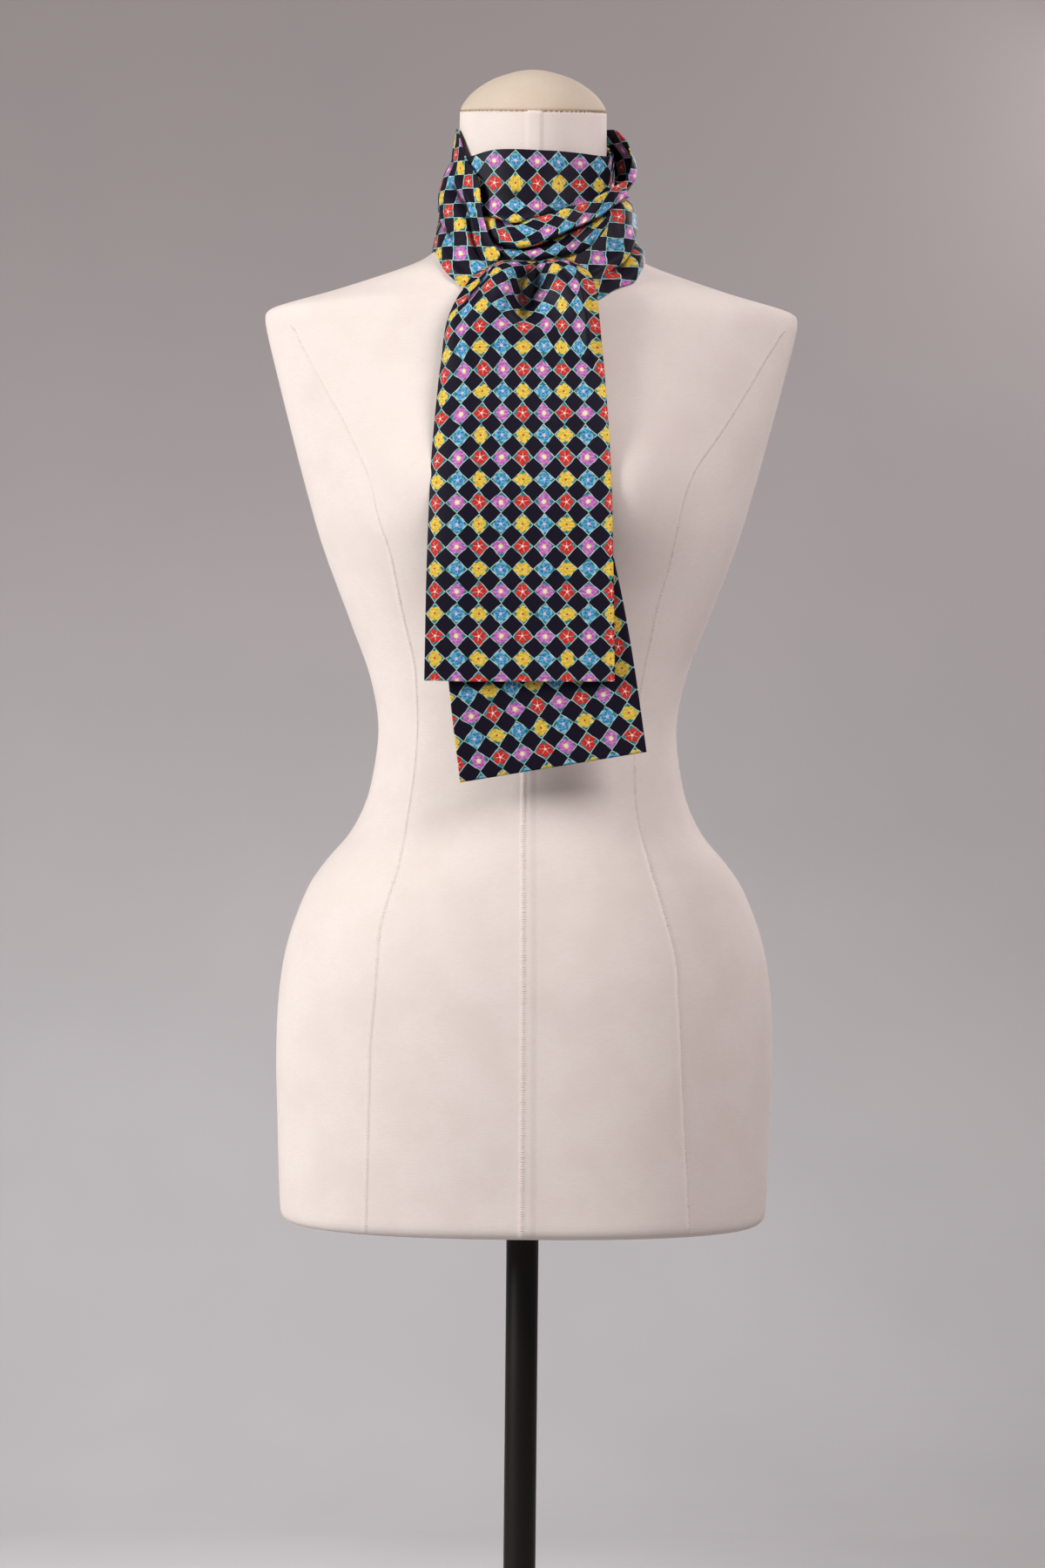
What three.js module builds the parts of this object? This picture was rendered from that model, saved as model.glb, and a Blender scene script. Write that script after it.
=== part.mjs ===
// A printed silk cravat, one long strip wound round the neck of a limbless dress form on a pole.
// Millimetres. X runs to the right as seen from the front, the front faces -Y, Z is up.
// The origin is on the floor under the middle of the base plate.
import * as THREE from "three";

// The strip of doubled silk and the gaps that every piece keeps
const STRIP_WIDTH = 134;
const CLOTH_WALL = 1.2;
const SEAM_GAP = 0.3;
const FORM_CLEARANCE = 0.9;

// The stand
const PLATE = { radius: 206, thickness: 6, edge: 1.5 };
const SOCKET = { radius: 19, top: 32, fillet: 3, floor: 3 };
const POLE_RADIUS = 12;

// The form: half its width, its depth in front of and behind the middle, and how square each level is
const FORM_BOTTOM = 640;
const RIM_RADIUS = 8;
const NECK_SEAM = 1372;
const FORM = [
  { z: 640, half: 180, front: 113, back: 115, power: 2.4 },
  { z: 671, half: 181.7, front: 114, back: 118, power: 2.4 },
  { z: 710, half: 183, front: 116, back: 121, power: 2.35 },
  { z: 760, half: 184.6, front: 117, back: 124, power: 2.3 },
  { z: 808, half: 183, front: 117, back: 123, power: 2.25 },
  { z: 847, half: 176.5, front: 114, back: 117, power: 2.2 },
  { z: 886, half: 161.9, front: 107, back: 106, power: 2.15 },
  { z: 906, half: 148.5, front: 102, back: 99, power: 2.1 },
  { z: 925, half: 132.3, front: 97, back: 92, power: 2.1 },
  { z: 944, half: 121.9, front: 93, back: 86, power: 2.1 },
  { z: 964, half: 115.7, front: 90, back: 81, power: 2.1 },
  { z: 1003, half: 110.8, front: 87, back: 76.5, power: 2.1 },
  { z: 1042, half: 117, front: 90, back: 79, power: 2.1 },
  { z: 1081, half: 131.3, front: 96, back: 85, power: 2.1 },
  { z: 1140, half: 153.7, front: 103, back: 94, power: 2.1 },
  { z: 1179, half: 165.4, front: 104, back: 98, power: 2.05 },
  { z: 1218, half: 176, front: 101, back: 100, power: 2 },
  { z: 1257, half: 186.2, front: 94, back: 99, power: 1.95 },
  { z: 1296, half: 196, front: 84, back: 93, power: 1.85 },
  { z: 1308, half: 198.4, front: 80.5, back: 89, power: 1.8 },
  { z: 1314, half: 197.2, front: 78, back: 86, power: 1.75 },
  { z: 1318, half: 192, front: 77, back: 84, power: 1.7 },
  { z: 1330, half: 153, front: 73, back: 79, power: 1.6 },
  { z: 1344, half: 109, front: 68, back: 73, power: 1.6 },
  { z: 1352, half: 87, front: 65, back: 69.5, power: 1.7 },
  { z: 1360, half: 74.5, front: 61.5, back: 66, power: 1.8 },
  { z: 1372, half: 64, front: 58.5, back: 61, power: 1.95 },
  { z: 1385, half: 58.5, front: 58.5, back: 58.5, power: 2 },
  { z: 1400, half: 56, front: 58, back: 54, power: 2 },
  { z: 1425, half: 55.2, front: 59.2, back: 51.2, power: 2 },
  { z: 1480, half: 54.6, front: 63, back: 46.2, power: 2 },
];
const BUST = { apart: 74, height: 1170, rise: 27, spreadX: 48, spreadZ: 54 };

// The neck ends in a sloping seam, and a padded cap closes it: heights are along the cap's own axis
const CAP_SEAM = { z: 1468, slope: Math.tan((12 * Math.PI) / 180) };
const CAP = [
  { up: 0, radius: 54 },
  { up: 2, radius: 53.6 },
  { up: 6, radius: 51 },
  { up: 11, radius: 46.4 },
  { up: 16, radius: 39.6 },
  { up: 21.4, radius: 29.8 },
  { up: 25, radius: 19 },
  { up: 27.3, radius: 9 },
];
const CAP_TOP = 28;

// The neck leans forward: the middle of a turn of cloth follows it
const NECK_AXIS = { foot: 1350, y: 2, lean: -10 / 118 };

// Stretches wound on the neck. A row is a station along the strip: the turn in degrees from the front
// towards the right, the height and the distance from the neck's axis of its upper and lower edges,
// and how far the lower edge runs ahead of the upper one.
const FRONT_PANEL = [
  { turn: -102.7, top: 1436, low: 1392, topOut: 57.6, lowOut: 59.8, ahead: 0 },
  { turn: -80, top: 1430, low: 1382, topOut: 57.6, lowOut: 61, ahead: 0 },
  { turn: -60, top: 1423, low: 1362, topOut: 57.6, lowOut: 66, ahead: 0 },
  { turn: -40, top: 1424, low: 1345, topOut: 58, lowOut: 73, ahead: 3 },
  { turn: -20, top: 1425.5, low: 1338, topOut: 58, lowOut: 77, ahead: 3 },
  { turn: 0, top: 1424.3, low: 1339, topOut: 58, lowOut: 78, ahead: 0 },
  { turn: 20, top: 1424, low: 1345, topOut: 58, lowOut: 78, ahead: 0 },
  { turn: 40, top: 1424.6, low: 1360, topOut: 58, lowOut: 76, ahead: 0 },
  { turn: 60, top: 1426, low: 1377, topOut: 58.2, lowOut: 69.5, ahead: 0 },
  { turn: 84, top: 1434, low: 1384, topOut: 57.9, lowOut: 65, ahead: 0 },
];
const INNER_TURN = [
  { turn: 84.3, top: 1434, low: 1384, topOut: 57.9, lowOut: 65, ahead: 0 },
  { turn: 110, top: 1443, low: 1378, topOut: 57.4, lowOut: 64, ahead: 0 },
  { turn: 140, top: 1447, low: 1368, topOut: 58, lowOut: 66, ahead: 0 },
  { turn: 170, top: 1442, low: 1358, topOut: 58.4, lowOut: 69, ahead: 0 },
  { turn: 192, top: 1418, low: 1352, topOut: 57.4, lowOut: 73, ahead: 0 },
  { turn: 204, top: 1389, low: 1351, topOut: 62, lowOut: 75, ahead: 0 },
  { turn: 214, top: 1387, low: 1351, topOut: 64, lowOut: 75.4, ahead: 0 },
];
const LEFT_WRAP = [
  { turn: -145.7, top: 1387, low: 1351, topOut: 64, lowOut: 75.6, ahead: 0 },
  { turn: -126, top: 1413, low: 1354, topOut: 65, lowOut: 76.5, ahead: 2 },
  { turn: -106, top: 1441, low: 1358, topOut: 61.4, lowOut: 76, ahead: 4 },
  { turn: -88, top: 1452, low: 1360, topOut: 59.4, lowOut: 75.4, ahead: 2 },
  { turn: -70, top: 1442, low: 1356, topOut: 60.6, lowOut: 76.5, ahead: -3 },
  { turn: -54.5, top: 1422.8, low: 1348, topOut: 62.6, lowOut: 79, ahead: -9 },
  { turn: -38, top: 1399.3, low: 1337.5, topOut: 69, lowOut: 83, ahead: -15 },
  { turn: -31, top: 1374, low: 1328, topOut: 76, lowOut: 86, ahead: -12 },
  { turn: -24, top: 1352, low: 1319, topOut: 80.6, lowOut: 87.5, ahead: -12 },
  { turn: -17, top: 1338, low: 1311, topOut: 82.4, lowOut: 88, ahead: -14 },
];
const NAPE_WRAP = [
  { turn: -236, top: 1456, low: 1361, topOut: 60.4, lowOut: 79, ahead: 0 },
  { turn: -216, top: 1457, low: 1368, topOut: 60, lowOut: 77, ahead: 0 },
  { turn: -192, top: 1458, low: 1377, topOut: 59.8, lowOut: 73.6, ahead: 0 },
  { turn: -170, top: 1457, low: 1385, topOut: 59.6, lowOut: 70, ahead: 0 },
  { turn: -148, top: 1454, low: 1391, topOut: 59.2, lowOut: 62.6, ahead: 0 },
  { turn: -124, top: 1446, low: 1392, topOut: 57.6, lowOut: 60.6, ahead: 0 },
  { turn: -103, top: 1436, low: 1392, topOut: 57.6, lowOut: 59.8, ahead: 0 },
];
const RIGHT_WRAP = [
  { turn: 123.7, top: 1456, low: 1361, topOut: 60.4, lowOut: 79, ahead: 0 },
  { turn: 106, top: 1456, low: 1356, topOut: 60, lowOut: 81.6, ahead: 0 },
  { turn: 90, top: 1454, low: 1355, topOut: 59.8, lowOut: 83.6, ahead: 0 },
  { turn: 78, top: 1441, low: 1354, topOut: 62, lowOut: 85, ahead: 2 },
  { turn: 68, top: 1427, low: 1348, topOut: 66, lowOut: 86, ahead: 4 },
  { turn: 60, top: 1402, low: 1340, topOut: 71.6, lowOut: 86.5, ahead: 5 },
  { turn: 54, top: 1370.5, low: 1333, topOut: 75, lowOut: 86.5, ahead: 6 },
  { turn: 49, top: 1368, low: 1329, topOut: 69, lowOut: 87, ahead: 6 },
  { turn: 40, top: 1364, low: 1323, topOut: 70, lowOut: 88, ahead: 6 },
  { turn: 30, top: 1356, low: 1316, topOut: 72, lowOut: 89, ahead: 6 },
  { turn: 14, top: 1345, low: 1307, topOut: 73.4, lowOut: 88, ahead: 8 },
];

// Folds that run along a wound stretch: across is the place in the strip's width, from the upper edge,
// at the first and the last station, rise is outwards and wide is the half width, in shares of the strip.
const PANEL_FOLDS = [
  { from: -50, to: 70, across: 0.4, acrossEnd: 0.36, rise: 6.5, wide: 0.07 },
  { from: -46, to: 70, across: 0.53, acrossEnd: 0.5, rise: -3.5, wide: 0.05 },
  { from: -42, to: 66, across: 0.66, acrossEnd: 0.62, rise: 6.5, wide: 0.075 },
  { from: -40, to: 66, across: 0.8, acrossEnd: 0.78, rise: -3.5, wide: 0.05 },
  { from: -40, to: 60, across: 0.91, acrossEnd: 0.9, rise: 5, wide: 0.08 },
];
const LEFT_FOLDS = [
  { from: -140, to: -62, across: 0.34, acrossEnd: 0.28, rise: 2.4, wide: 0.12 },
  { from: -136, to: -46, across: 0.64, acrossEnd: 0.58, rise: 4, wide: 0.18 },
];
const RIGHT_FOLDS = [
  { from: 50, to: 118, across: 0.26, acrossEnd: 0.32, rise: 8.5, wide: 0.12 },
  { from: 44, to: 122, across: 0.5, acrossEnd: 0.52, rise: -6.2, wide: 0.08 },
  { from: 34, to: 112, across: 0.72, acrossEnd: 0.74, rise: 2, wide: 0.1 },
];
const NAPE_FOLDS = [
  { from: -232, to: -150, across: 0.3, acrossEnd: 0.34, rise: 3, wide: 0.12 },
  { from: -240, to: -160, across: 0.52, acrossEnd: 0.5, rise: -2.6, wide: 0.07 },
  { from: -230, to: -142, across: 0.74, acrossEnd: 0.72, rise: 2.8, wide: 0.1 },
];

// Hanging ends, level by level: the left and right edges, and the depth of the face at each of them
const FRONT_TAIL = [
  { z: 1336.5, left: -36, right: 30, depthLeft: 84, depthRight: 84 },
  { z: 1330, left: -41, right: 36, depthLeft: 89, depthRight: 89 },
  { z: 1322, left: -47, right: 41.5, depthLeft: 92.4, depthRight: 92.4 },
  { z: 1314, left: -52, right: 45, depthLeft: 95, depthRight: 95.4 },
  { z: 1300, left: -59, right: 48, depthLeft: 98, depthRight: 98.6 },
  { z: 1280, left: -63, right: 50, depthLeft: 101, depthRight: 101 },
  { z: 1242, left: -67, right: 54, depthLeft: 110.8, depthRight: 110.5 },
  { z: 1209, left: -69, right: 56, depthLeft: 119.8, depthRight: 119 },
  { z: 1172, left: -70.5, right: 57.3, depthLeft: 127, depthRight: 125.6 },
  { z: 1130, left: -71.7, right: 58.5, depthLeft: 130.2, depthRight: 128.8 },
  { z: 1086, left: -72.5, right: 60, depthLeft: 131.2, depthRight: 130 },
  { z: 1036, left: -73.2, right: 61, depthLeft: 131, depthRight: 130 },
];
const BACK_TAIL = [
  { z: 1318, left: -44, right: 26, depthLeft: 85, depthRight: 85 },
  { z: 1300, left: -53, right: 31, depthLeft: 91, depthRight: 91 },
  { z: 1275, left: -59, right: 36, depthLeft: 97, depthRight: 97 },
  { z: 1242, left: -62.5, right: 40, depthLeft: 107.5, depthRight: 107 },
  { z: 1211, left: -63.5, right: 45, depthLeft: 117, depthRight: 115 },
  { z: 1148, left: -63, right: 54.5, depthLeft: 127.5, depthRight: 125 },
  { z: 1084, left: -60.5, right: 67.3, depthLeft: 128, depthRight: 126 },
  { z: 1038, left: -56, right: 75.1, depthLeft: 127, depthRight: 126 },
  { z: 976, left: -47.4, right: 84.2, depthLeft: 124, depthRight: 124 },
];
const BACK_HEM_RISE = 11.4;
const BACK_HEM_FROM = 1148;
const FRONT_TAIL_FOLDS = [
  { from: 1340, to: 1278, across: 0.56, acrossEnd: 0.5, rise: -6, wide: 0.1 },
  { from: 1334, to: 1300, across: 0.27, acrossEnd: 0.2, rise: 2.6, wide: 0.09 },
  { from: 1336, to: 1292, across: 0.8, acrossEnd: 0.84, rise: 2.6, wide: 0.08 },
  { from: 1316, to: 1060, across: 0.12, acrossEnd: 0.3, rise: 1.2, wide: 0.16 },
];
const BACK_TAIL_FOLDS = [
  { from: 1330, to: 1160, across: 0.35, acrossEnd: 0.3, rise: -1.6, wide: 0.1 },
  { from: 1330, to: 1120, across: 0.66, acrossEnd: 0.7, rise: -1.6, wide: 0.1 },
];

// The number of steps along and across each piece
const STEPS = {
  form: { round: 34, up: 31 },
  neck: { round: 30, up: 6 },
  panel: { along: 28, across: 24 },
  wrap: { along: 20, across: 12 },
  inner: { along: 14, across: 5 },
  frontTail: { along: 24, across: 10 },
  backTail: { along: 18, across: 7 },
  plate: 64,
  pole: 24,
};

// A smooth line through one column of a table, read at any value of its first column.
function line(rows, first, column) {
  const order = [...rows].sort((a, b) => a[first] - b[first]);
  const xs = order.map((row) => row[first]);
  const ys = order.map((row) => row[column]);
  const last = xs.length - 1;
  const slopes = xs.map((_, i) => {
    const low = Math.max(i - 1, 0);
    const high = Math.min(i + 1, last);
    const before = i > 0 ? ys[i] - ys[i - 1] : ys[1] - ys[0];
    const after = i < last ? ys[i + 1] - ys[i] : before;
    return before * after <= 0 ? 0 : (ys[high] - ys[low]) / (xs[high] - xs[low]);
  });
  return (x) => {
    const at = THREE.MathUtils.clamp(x, xs[0], xs[last]);
    let i = 0;
    while (i < last - 1 && at > xs[i + 1]) i += 1;
    const step = xs[i + 1] - xs[i];
    const t = (at - xs[i]) / step;
    const rise = t * t * (3 - 2 * t);
    const early = t * (1 - t) * (1 - t) * step;
    const late = -t * t * (1 - t) * step;
    return ys[i] * (1 - rise) + ys[i + 1] * rise + slopes[i] * early + slopes[i + 1] * late;
  };
}

// A bell from 0 to 1 and back, for a fold's section or a rounded mound.
function bell(distance) {
  return Math.exp(-distance * distance);
}

// 1 well inside a stretch and 0 at its ends, for folds that die out.
function fade(at, from, to, share = 0.25) {
  const place = (at - from) / (to - from);
  const rising = THREE.MathUtils.smoothstep(place, 0, share);
  return rising * (1 - THREE.MathUtils.smoothstep(place, 1 - share, 1));
}

const formHalf = line(FORM, "z", "half");
const formFront = line(FORM, "z", "front");
const formBack = line(FORM, "z", "back");
const formPower = line(FORM, "z", "power");

// How far the bust stands out of the plain front at a place.
function bustRise(x, z) {
  const up = bell((z - BUST.height) / BUST.spreadZ);
  const right = bell((x - BUST.apart) / BUST.spreadX);
  const left = bell((x + BUST.apart) / BUST.spreadX);
  return BUST.rise * up * (right + left);
}

// How much the rounded rim draws the form in at a height.
function rimInset(z) {
  const rise = Math.min(z - FORM_BOTTOM, RIM_RADIUS);
  return RIM_RADIUS - Math.sqrt(RIM_RADIUS ** 2 - (RIM_RADIUS - rise) ** 2);
}

// A point of the form's skin at a height, where the angle starts at the right side.
function formPoint(angle, z) {
  const inset = rimInset(z);
  const bend = 2 / formPower(z);
  const c = Math.cos(angle);
  const s = Math.sin(angle);
  const x = (formHalf(z) - inset) * Math.sign(c) * Math.abs(c) ** bend;
  const depth = (s < 0 ? formFront(z) : formBack(z)) - inset;
  const y = depth * Math.sign(s) * Math.abs(s) ** bend;
  const frontness = THREE.MathUtils.smoothstep(-s, 0, 0.6);
  return new THREE.Vector3(x, y - bustRise(x, z) * frontness, z);
}

// A closed solid from rings of equal count, each end closed by a fan round its own middle point.
function ringSolid(rings, endPoints) {
  const count = rings[0].length;
  const points = [...rings.flat(), ...endPoints];
  const faces = [];
  for (let level = 0; level < rings.length - 1; level += 1) {
    for (let i = 0; i < count; i += 1) {
      const next = (i + 1) % count;
      const a = level * count + i;
      const b = level * count + next;
      faces.push(a, b, b + count, a, b + count, a + count);
    }
  }
  const bottom = rings.length * count;
  const lastRing = bottom - count;
  for (let i = 0; i < count; i += 1) {
    const next = (i + 1) % count;
    faces.push(bottom, next, i);
    faces.push(bottom + 1, lastRing + i, lastRing + next);
  }
  return solidFrom(points, faces);
}

// A geometry from points and faces, turned so that its faces point out.
function solidFrom(points, faces) {
  const a = new THREE.Vector3();
  let volume = 0;
  for (let i = 0; i < faces.length; i += 3) {
    const [p, q, r] = [points[faces[i]], points[faces[i + 1]], points[faces[i + 2]]];
    volume += a.crossVectors(q, r).dot(p);
  }
  if (volume < 0) faces.reverse();
  const geometry = new THREE.BufferGeometry();
  geometry.setFromPoints(points);
  geometry.setIndex(faces);
  return geometry;
}

// A sheet of cloth with a wall: the face is sampled along and across, and the back lies behind it.
function clothSolid(face, along, across, wall = CLOTH_WALL) {
  const points = [];
  const small = 1e-3;
  const outer = [];
  const inner = [];
  for (let i = 0; i <= along; i += 1) {
    for (let j = 0; j <= across; j += 1) {
      const u = i / along;
      const v = j / across;
      const p = face(u, v);
      const du = face(Math.min(u + small, 1), v).sub(face(Math.max(u - small, 0), v));
      const dv = face(u, Math.min(v + small, 1)).sub(face(u, Math.max(v - small, 0)));
      const inwards = du.cross(dv).normalize();
      outer.push(p);
      inner.push(p.clone().addScaledVector(inwards, wall));
    }
  }
  points.push(...outer, ...inner);
  const row = across + 1;
  const count = outer.length;
  const faces = [];
  const quad = (a, b, c, d) => faces.push(a, b, c, a, c, d);
  for (let i = 0; i < along; i += 1) {
    for (let j = 0; j < across; j += 1) {
      const a = i * row + j;
      quad(a, a + 1, a + row + 1, a + row);
      quad(a + count, a + row + count, a + row + 1 + count, a + 1 + count);
    }
  }
  for (let i = 0; i < along; i += 1) {
    const top = i * row;
    const low = top + across;
    quad(top, top + row, top + row + count, top + count);
    quad(low, low + count, low + row + count, low + row);
  }
  for (let j = 0; j < across; j += 1) {
    const end = along * row + j;
    quad(j, j + count, j + 1 + count, j + 1);
    quad(end, end + 1, end + 1 + count, end + count);
  }
  return solidFrom(points, faces);
}

// How far the folds of a table stand out at a place along and across a stretch.
function foldRise(folds, at, across) {
  let rise = 0;
  for (const fold of folds) {
    const share = (at - fold.from) / (fold.to - fold.from);
    const middle = THREE.MathUtils.lerp(fold.across, fold.acrossEnd, share);
    rise += fold.rise * bell((across - middle) / fold.wide) * fade(at, fold.from, fold.to);
  }
  return rise;
}

// The level distance that leaves a gap square to a skin which slopes as one column of the form does.
function levelGap(column, z, gap) {
  const slope = (column(z + 1) - column(z - 1)) / 2;
  return gap * Math.hypot(1, slope);
}

// Cloth stays outside the form: a point is moved out, level, to the form's skin and a clearance.
function keepOffForm(point, gap) {
  const power = formPower(point.z);
  const half = formHalf(point.z) + levelGap(formHalf, point.z, gap);
  const side = point.y < 0 ? formFront : formBack;
  const depth = side(point.z) + levelGap(side, point.z, gap);
  const share = (Math.abs(point.x) / half) ** power + (Math.abs(point.y) / depth) ** power;
  if (share < 1) {
    const out = share ** (-1 / power);
    point.x *= out;
    point.y *= out;
  }
  return point;
}

// The face of a stretch wound on the neck, from its stations. The flat share of the strip's width
// keeps its full height, and the rest is crowded into what is left of the stretch's height.
function woundFace(stations, folds, flatShare = 0) {
  const columns = ["top", "low", "topOut", "lowOut", "ahead"];
  const read = Object.fromEntries(columns.map((name) => [name, line(stations, "turn", name)]));
  const turns = stations.map((row) => row.turn);
  const first = Math.min(...turns);
  const last = Math.max(...turns);
  return (u, v) => {
    const turn = THREE.MathUtils.lerp(first, last, u);
    const tall = read.top(turn) - read.low(turn);
    const flatDrop = flatShare * STRIP_WIDTH;
    const crowded = flatDrop + (tall - flatDrop) * ((v - flatShare) / (1 - flatShare));
    const drop = v < flatShare ? v * STRIP_WIDTH : crowded;
    const share = drop / tall;
    const z = read.top(turn) - drop;
    const plain = THREE.MathUtils.lerp(read.topOut(turn), read.lowOut(turn), share ** 1.2);
    const out = plain + foldRise(folds, turn, v);
    const angle = THREE.MathUtils.degToRad(turn + read.ahead(turn) * share);
    const axis = NECK_AXIS.y + NECK_AXIS.lean * (z - NECK_AXIS.foot);
    const point = new THREE.Vector3(out * Math.sin(angle), axis - out * Math.cos(angle), z);
    return keepOffForm(point, FORM_CLEARANCE + CLOTH_WALL);
  };
}

// The face of a hanging end, from its levels; hemRise lifts the right end of its lowest levels.
function hangingFace(levels, folds, hemRise = 0, hemFrom = 0) {
  const columns = ["left", "right", "depthLeft", "depthRight"];
  const read = Object.fromEntries(columns.map((name) => [name, line(levels, "z", name)]));
  const heights = levels.map((row) => row.z);
  const top = Math.max(...heights);
  const hem = Math.min(...heights);
  return (u, v) => {
    const level = THREE.MathUtils.lerp(top, hem, v);
    const x = THREE.MathUtils.lerp(read.left(level), read.right(level), u);
    const plain = THREE.MathUtils.lerp(read.depthLeft(level), read.depthRight(level), u);
    const tilt = hemRise * THREE.MathUtils.clamp((hemFrom - level) / (hemFrom - hem), 0, 1);
    const z = level + tilt * (2 * u - 1);
    return new THREE.Vector3(x, -plain - foldRise(folds, level, u), z);
  };
}

function material(color, roughness, metalness = 0) {
  return new THREE.MeshStandardMaterial({ color, roughness, metalness, side: THREE.DoubleSide });
}

function piece(name, geometry, finish) {
  const mesh = new THREE.Mesh(geometry, finish);
  mesh.name = name;
  return mesh;
}

// The form's body from the rounded rim to the neck seam, with closer levels at the rim and shoulders.
function torso() {
  const rim = [0, 1, 3, RIM_RADIUS];
  const shoulder = [-66, -60, -57, -54, -48, -42, -35, -28, -20, -12, 0];
  const levels = rim.map((rise) => FORM_BOTTOM + rise);
  const low = FORM_BOTTOM + RIM_RADIUS;
  const high = NECK_SEAM + shoulder[0];
  for (let i = 1; i <= STEPS.form.up; i += 1) {
    levels.push(THREE.MathUtils.lerp(low, high, i / STEPS.form.up));
  }
  levels.push(...shoulder.slice(1).map((drop) => NECK_SEAM + drop));
  const rings = levels.map((z) => formRing(z, STEPS.form.round));
  const ends = [new THREE.Vector3(0, 0, FORM_BOTTOM), new THREE.Vector3(0, 0, NECK_SEAM)];
  return ringSolid(rings, ends);
}

function formRing(z, round) {
  return Array.from({ length: round }, (_, i) => formPoint((i / round) * 2 * Math.PI, z));
}

// The neck from the seam up to the sloping seam under the cap: its levels tilt more and more.
function neck() {
  const foot = NECK_SEAM + SEAM_GAP;
  const { round, up } = STEPS.neck;
  const rings = Array.from({ length: up + 1 }, (_, level) => {
    const share = level / up;
    const z = THREE.MathUtils.lerp(foot, CAP_SEAM.z, share);
    return formRing(z, round).map((p) => p.setZ(z + share * (p.y - capMiddle()) * CAP_SEAM.slope));
  });
  const top = new THREE.Vector3(0, capMiddle(), CAP_SEAM.z);
  return ringSolid(rings, [new THREE.Vector3(0, 0, foot), top]);
}

function capMiddle() {
  return (formBack(CAP_SEAM.z) - formFront(CAP_SEAM.z)) / 2;
}

// The cap is a low dome whose axis is square to the sloping seam.
function cap() {
  const tilt = Math.atan(CAP_SEAM.slope);
  const { round } = STEPS.neck;
  const place = (x, y, up) => {
    const p = new THREE.Vector3(x, y, up + SEAM_GAP).applyAxisAngle(new THREE.Vector3(1, 0, 0), tilt);
    return p.add(new THREE.Vector3(0, capMiddle(), CAP_SEAM.z));
  };
  const rings = CAP.map((row) =>
    Array.from({ length: round }, (_, i) => {
      const angle = (i / round) * 2 * Math.PI;
      return place(row.radius * Math.cos(angle), row.radius * Math.sin(angle), row.up);
    }),
  );
  return ringSolid(rings, [place(0, 0, 0), place(0, 0, CAP_TOP)]);
}

// The round base plate with its socket, turned in one profile from the middle out and back.
function basePlate() {
  const { radius, thickness, edge } = PLATE;
  const bore = POLE_RADIUS + SEAM_GAP;
  const { fillet, floor, top } = SOCKET;
  const profile = [
    [0, 0],
    [radius - edge, 0],
    [radius, edge],
    [radius, thickness - edge],
    [radius - edge, thickness],
    [SOCKET.radius + fillet, thickness],
    [SOCKET.radius, thickness + fillet],
    [SOCKET.radius, top - edge],
    [SOCKET.radius - edge, top],
    [bore, top],
    [bore, floor],
    [0, floor],
  ].map(([r, z]) => new THREE.Vector2(r, z));
  return closedLathe(profile, STEPS.plate);
}

// A lathe about Z whose profile starts and ends on the axis, with one point at each end.
function closedLathe(profile, round) {
  const rings = profile.slice(1, -1).map((p) =>
    Array.from({ length: round }, (_, i) => {
      const angle = (i / round) * 2 * Math.PI;
      return new THREE.Vector3(p.x * Math.cos(angle), p.x * Math.sin(angle), p.y);
    }),
  );
  const ends = [profile[0], profile[profile.length - 1]];
  return ringSolid(rings, ends.map((p) => new THREE.Vector3(0, 0, p.y)));
}

function pole() {
  const foot = SOCKET.floor + SEAM_GAP;
  const length = FORM_BOTTOM - SEAM_GAP - foot;
  const geometry = new THREE.CylinderGeometry(POLE_RADIUS, POLE_RADIUS, length, STEPS.pole);
  return geometry.rotateX(Math.PI / 2).translate(0, 0, foot + length / 2);
}

function wound(stations, folds, steps, flatShare) {
  return clothSolid(woundFace(stations, folds, flatShare), steps.along, steps.across);
}

function hanging(levels, folds, steps, hemRise, hemFrom) {
  const face = hangingFace(levels, folds, hemRise, hemFrom);
  return clothSolid(face, steps.across, steps.along);
}

const silk = material(0x2c3a4e, 0.45);
const cover = material(0xe9e2dc, 0.85);
const capCover = material(0xe6dcc6, 0.85);
const blackMetal = material(0x15120f, 0.35, 0.5);

// The share of the strip's width that lies flat at the top of the front panel
const PANEL_FLAT = 0.3;

const cravatOnForm = new THREE.Group();
cravatOnForm.add(
  piece("form_base_plate", basePlate(), blackMetal),
  piece("form_pole", pole(), blackMetal.clone()),
  piece("form_torso", torso(), cover),
  piece("form_neck", neck(), cover.clone()),
  piece("form_neck_cap", cap(), capCover),
  piece("cravat_front_panel", wound(FRONT_PANEL, PANEL_FOLDS, STEPS.panel, PANEL_FLAT), silk),
  piece("cravat_inner_turn", wound(INNER_TURN, [], STEPS.inner), silk.clone()),
  piece("cravat_left_wrap", wound(LEFT_WRAP, LEFT_FOLDS, STEPS.wrap), silk.clone()),
  piece("cravat_nape_wrap", wound(NAPE_WRAP, NAPE_FOLDS, STEPS.wrap), silk.clone()),
  piece("cravat_right_wrap", wound(RIGHT_WRAP, RIGHT_FOLDS, STEPS.wrap), silk.clone()),
  piece("cravat_front_tail", hanging(FRONT_TAIL, FRONT_TAIL_FOLDS, STEPS.frontTail), silk.clone()),
  piece(
    "cravat_back_tail",
    hanging(BACK_TAIL, BACK_TAIL_FOLDS, STEPS.backTail, BACK_HEM_RISE, BACK_HEM_FROM),
    silk.clone(),
  ),
);

export default cravatOnForm;
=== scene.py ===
# %% [markdown]
# This lesson dresses a packed CAD model of a silk cravat that is worn on a limbless dress form.
# The packed model is loaded first and stays fixed: every piece below is made round it, in metres,
# with X to the right, the front of the form facing -Y and Z up.

# %% Load the fixed model
import math

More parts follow.
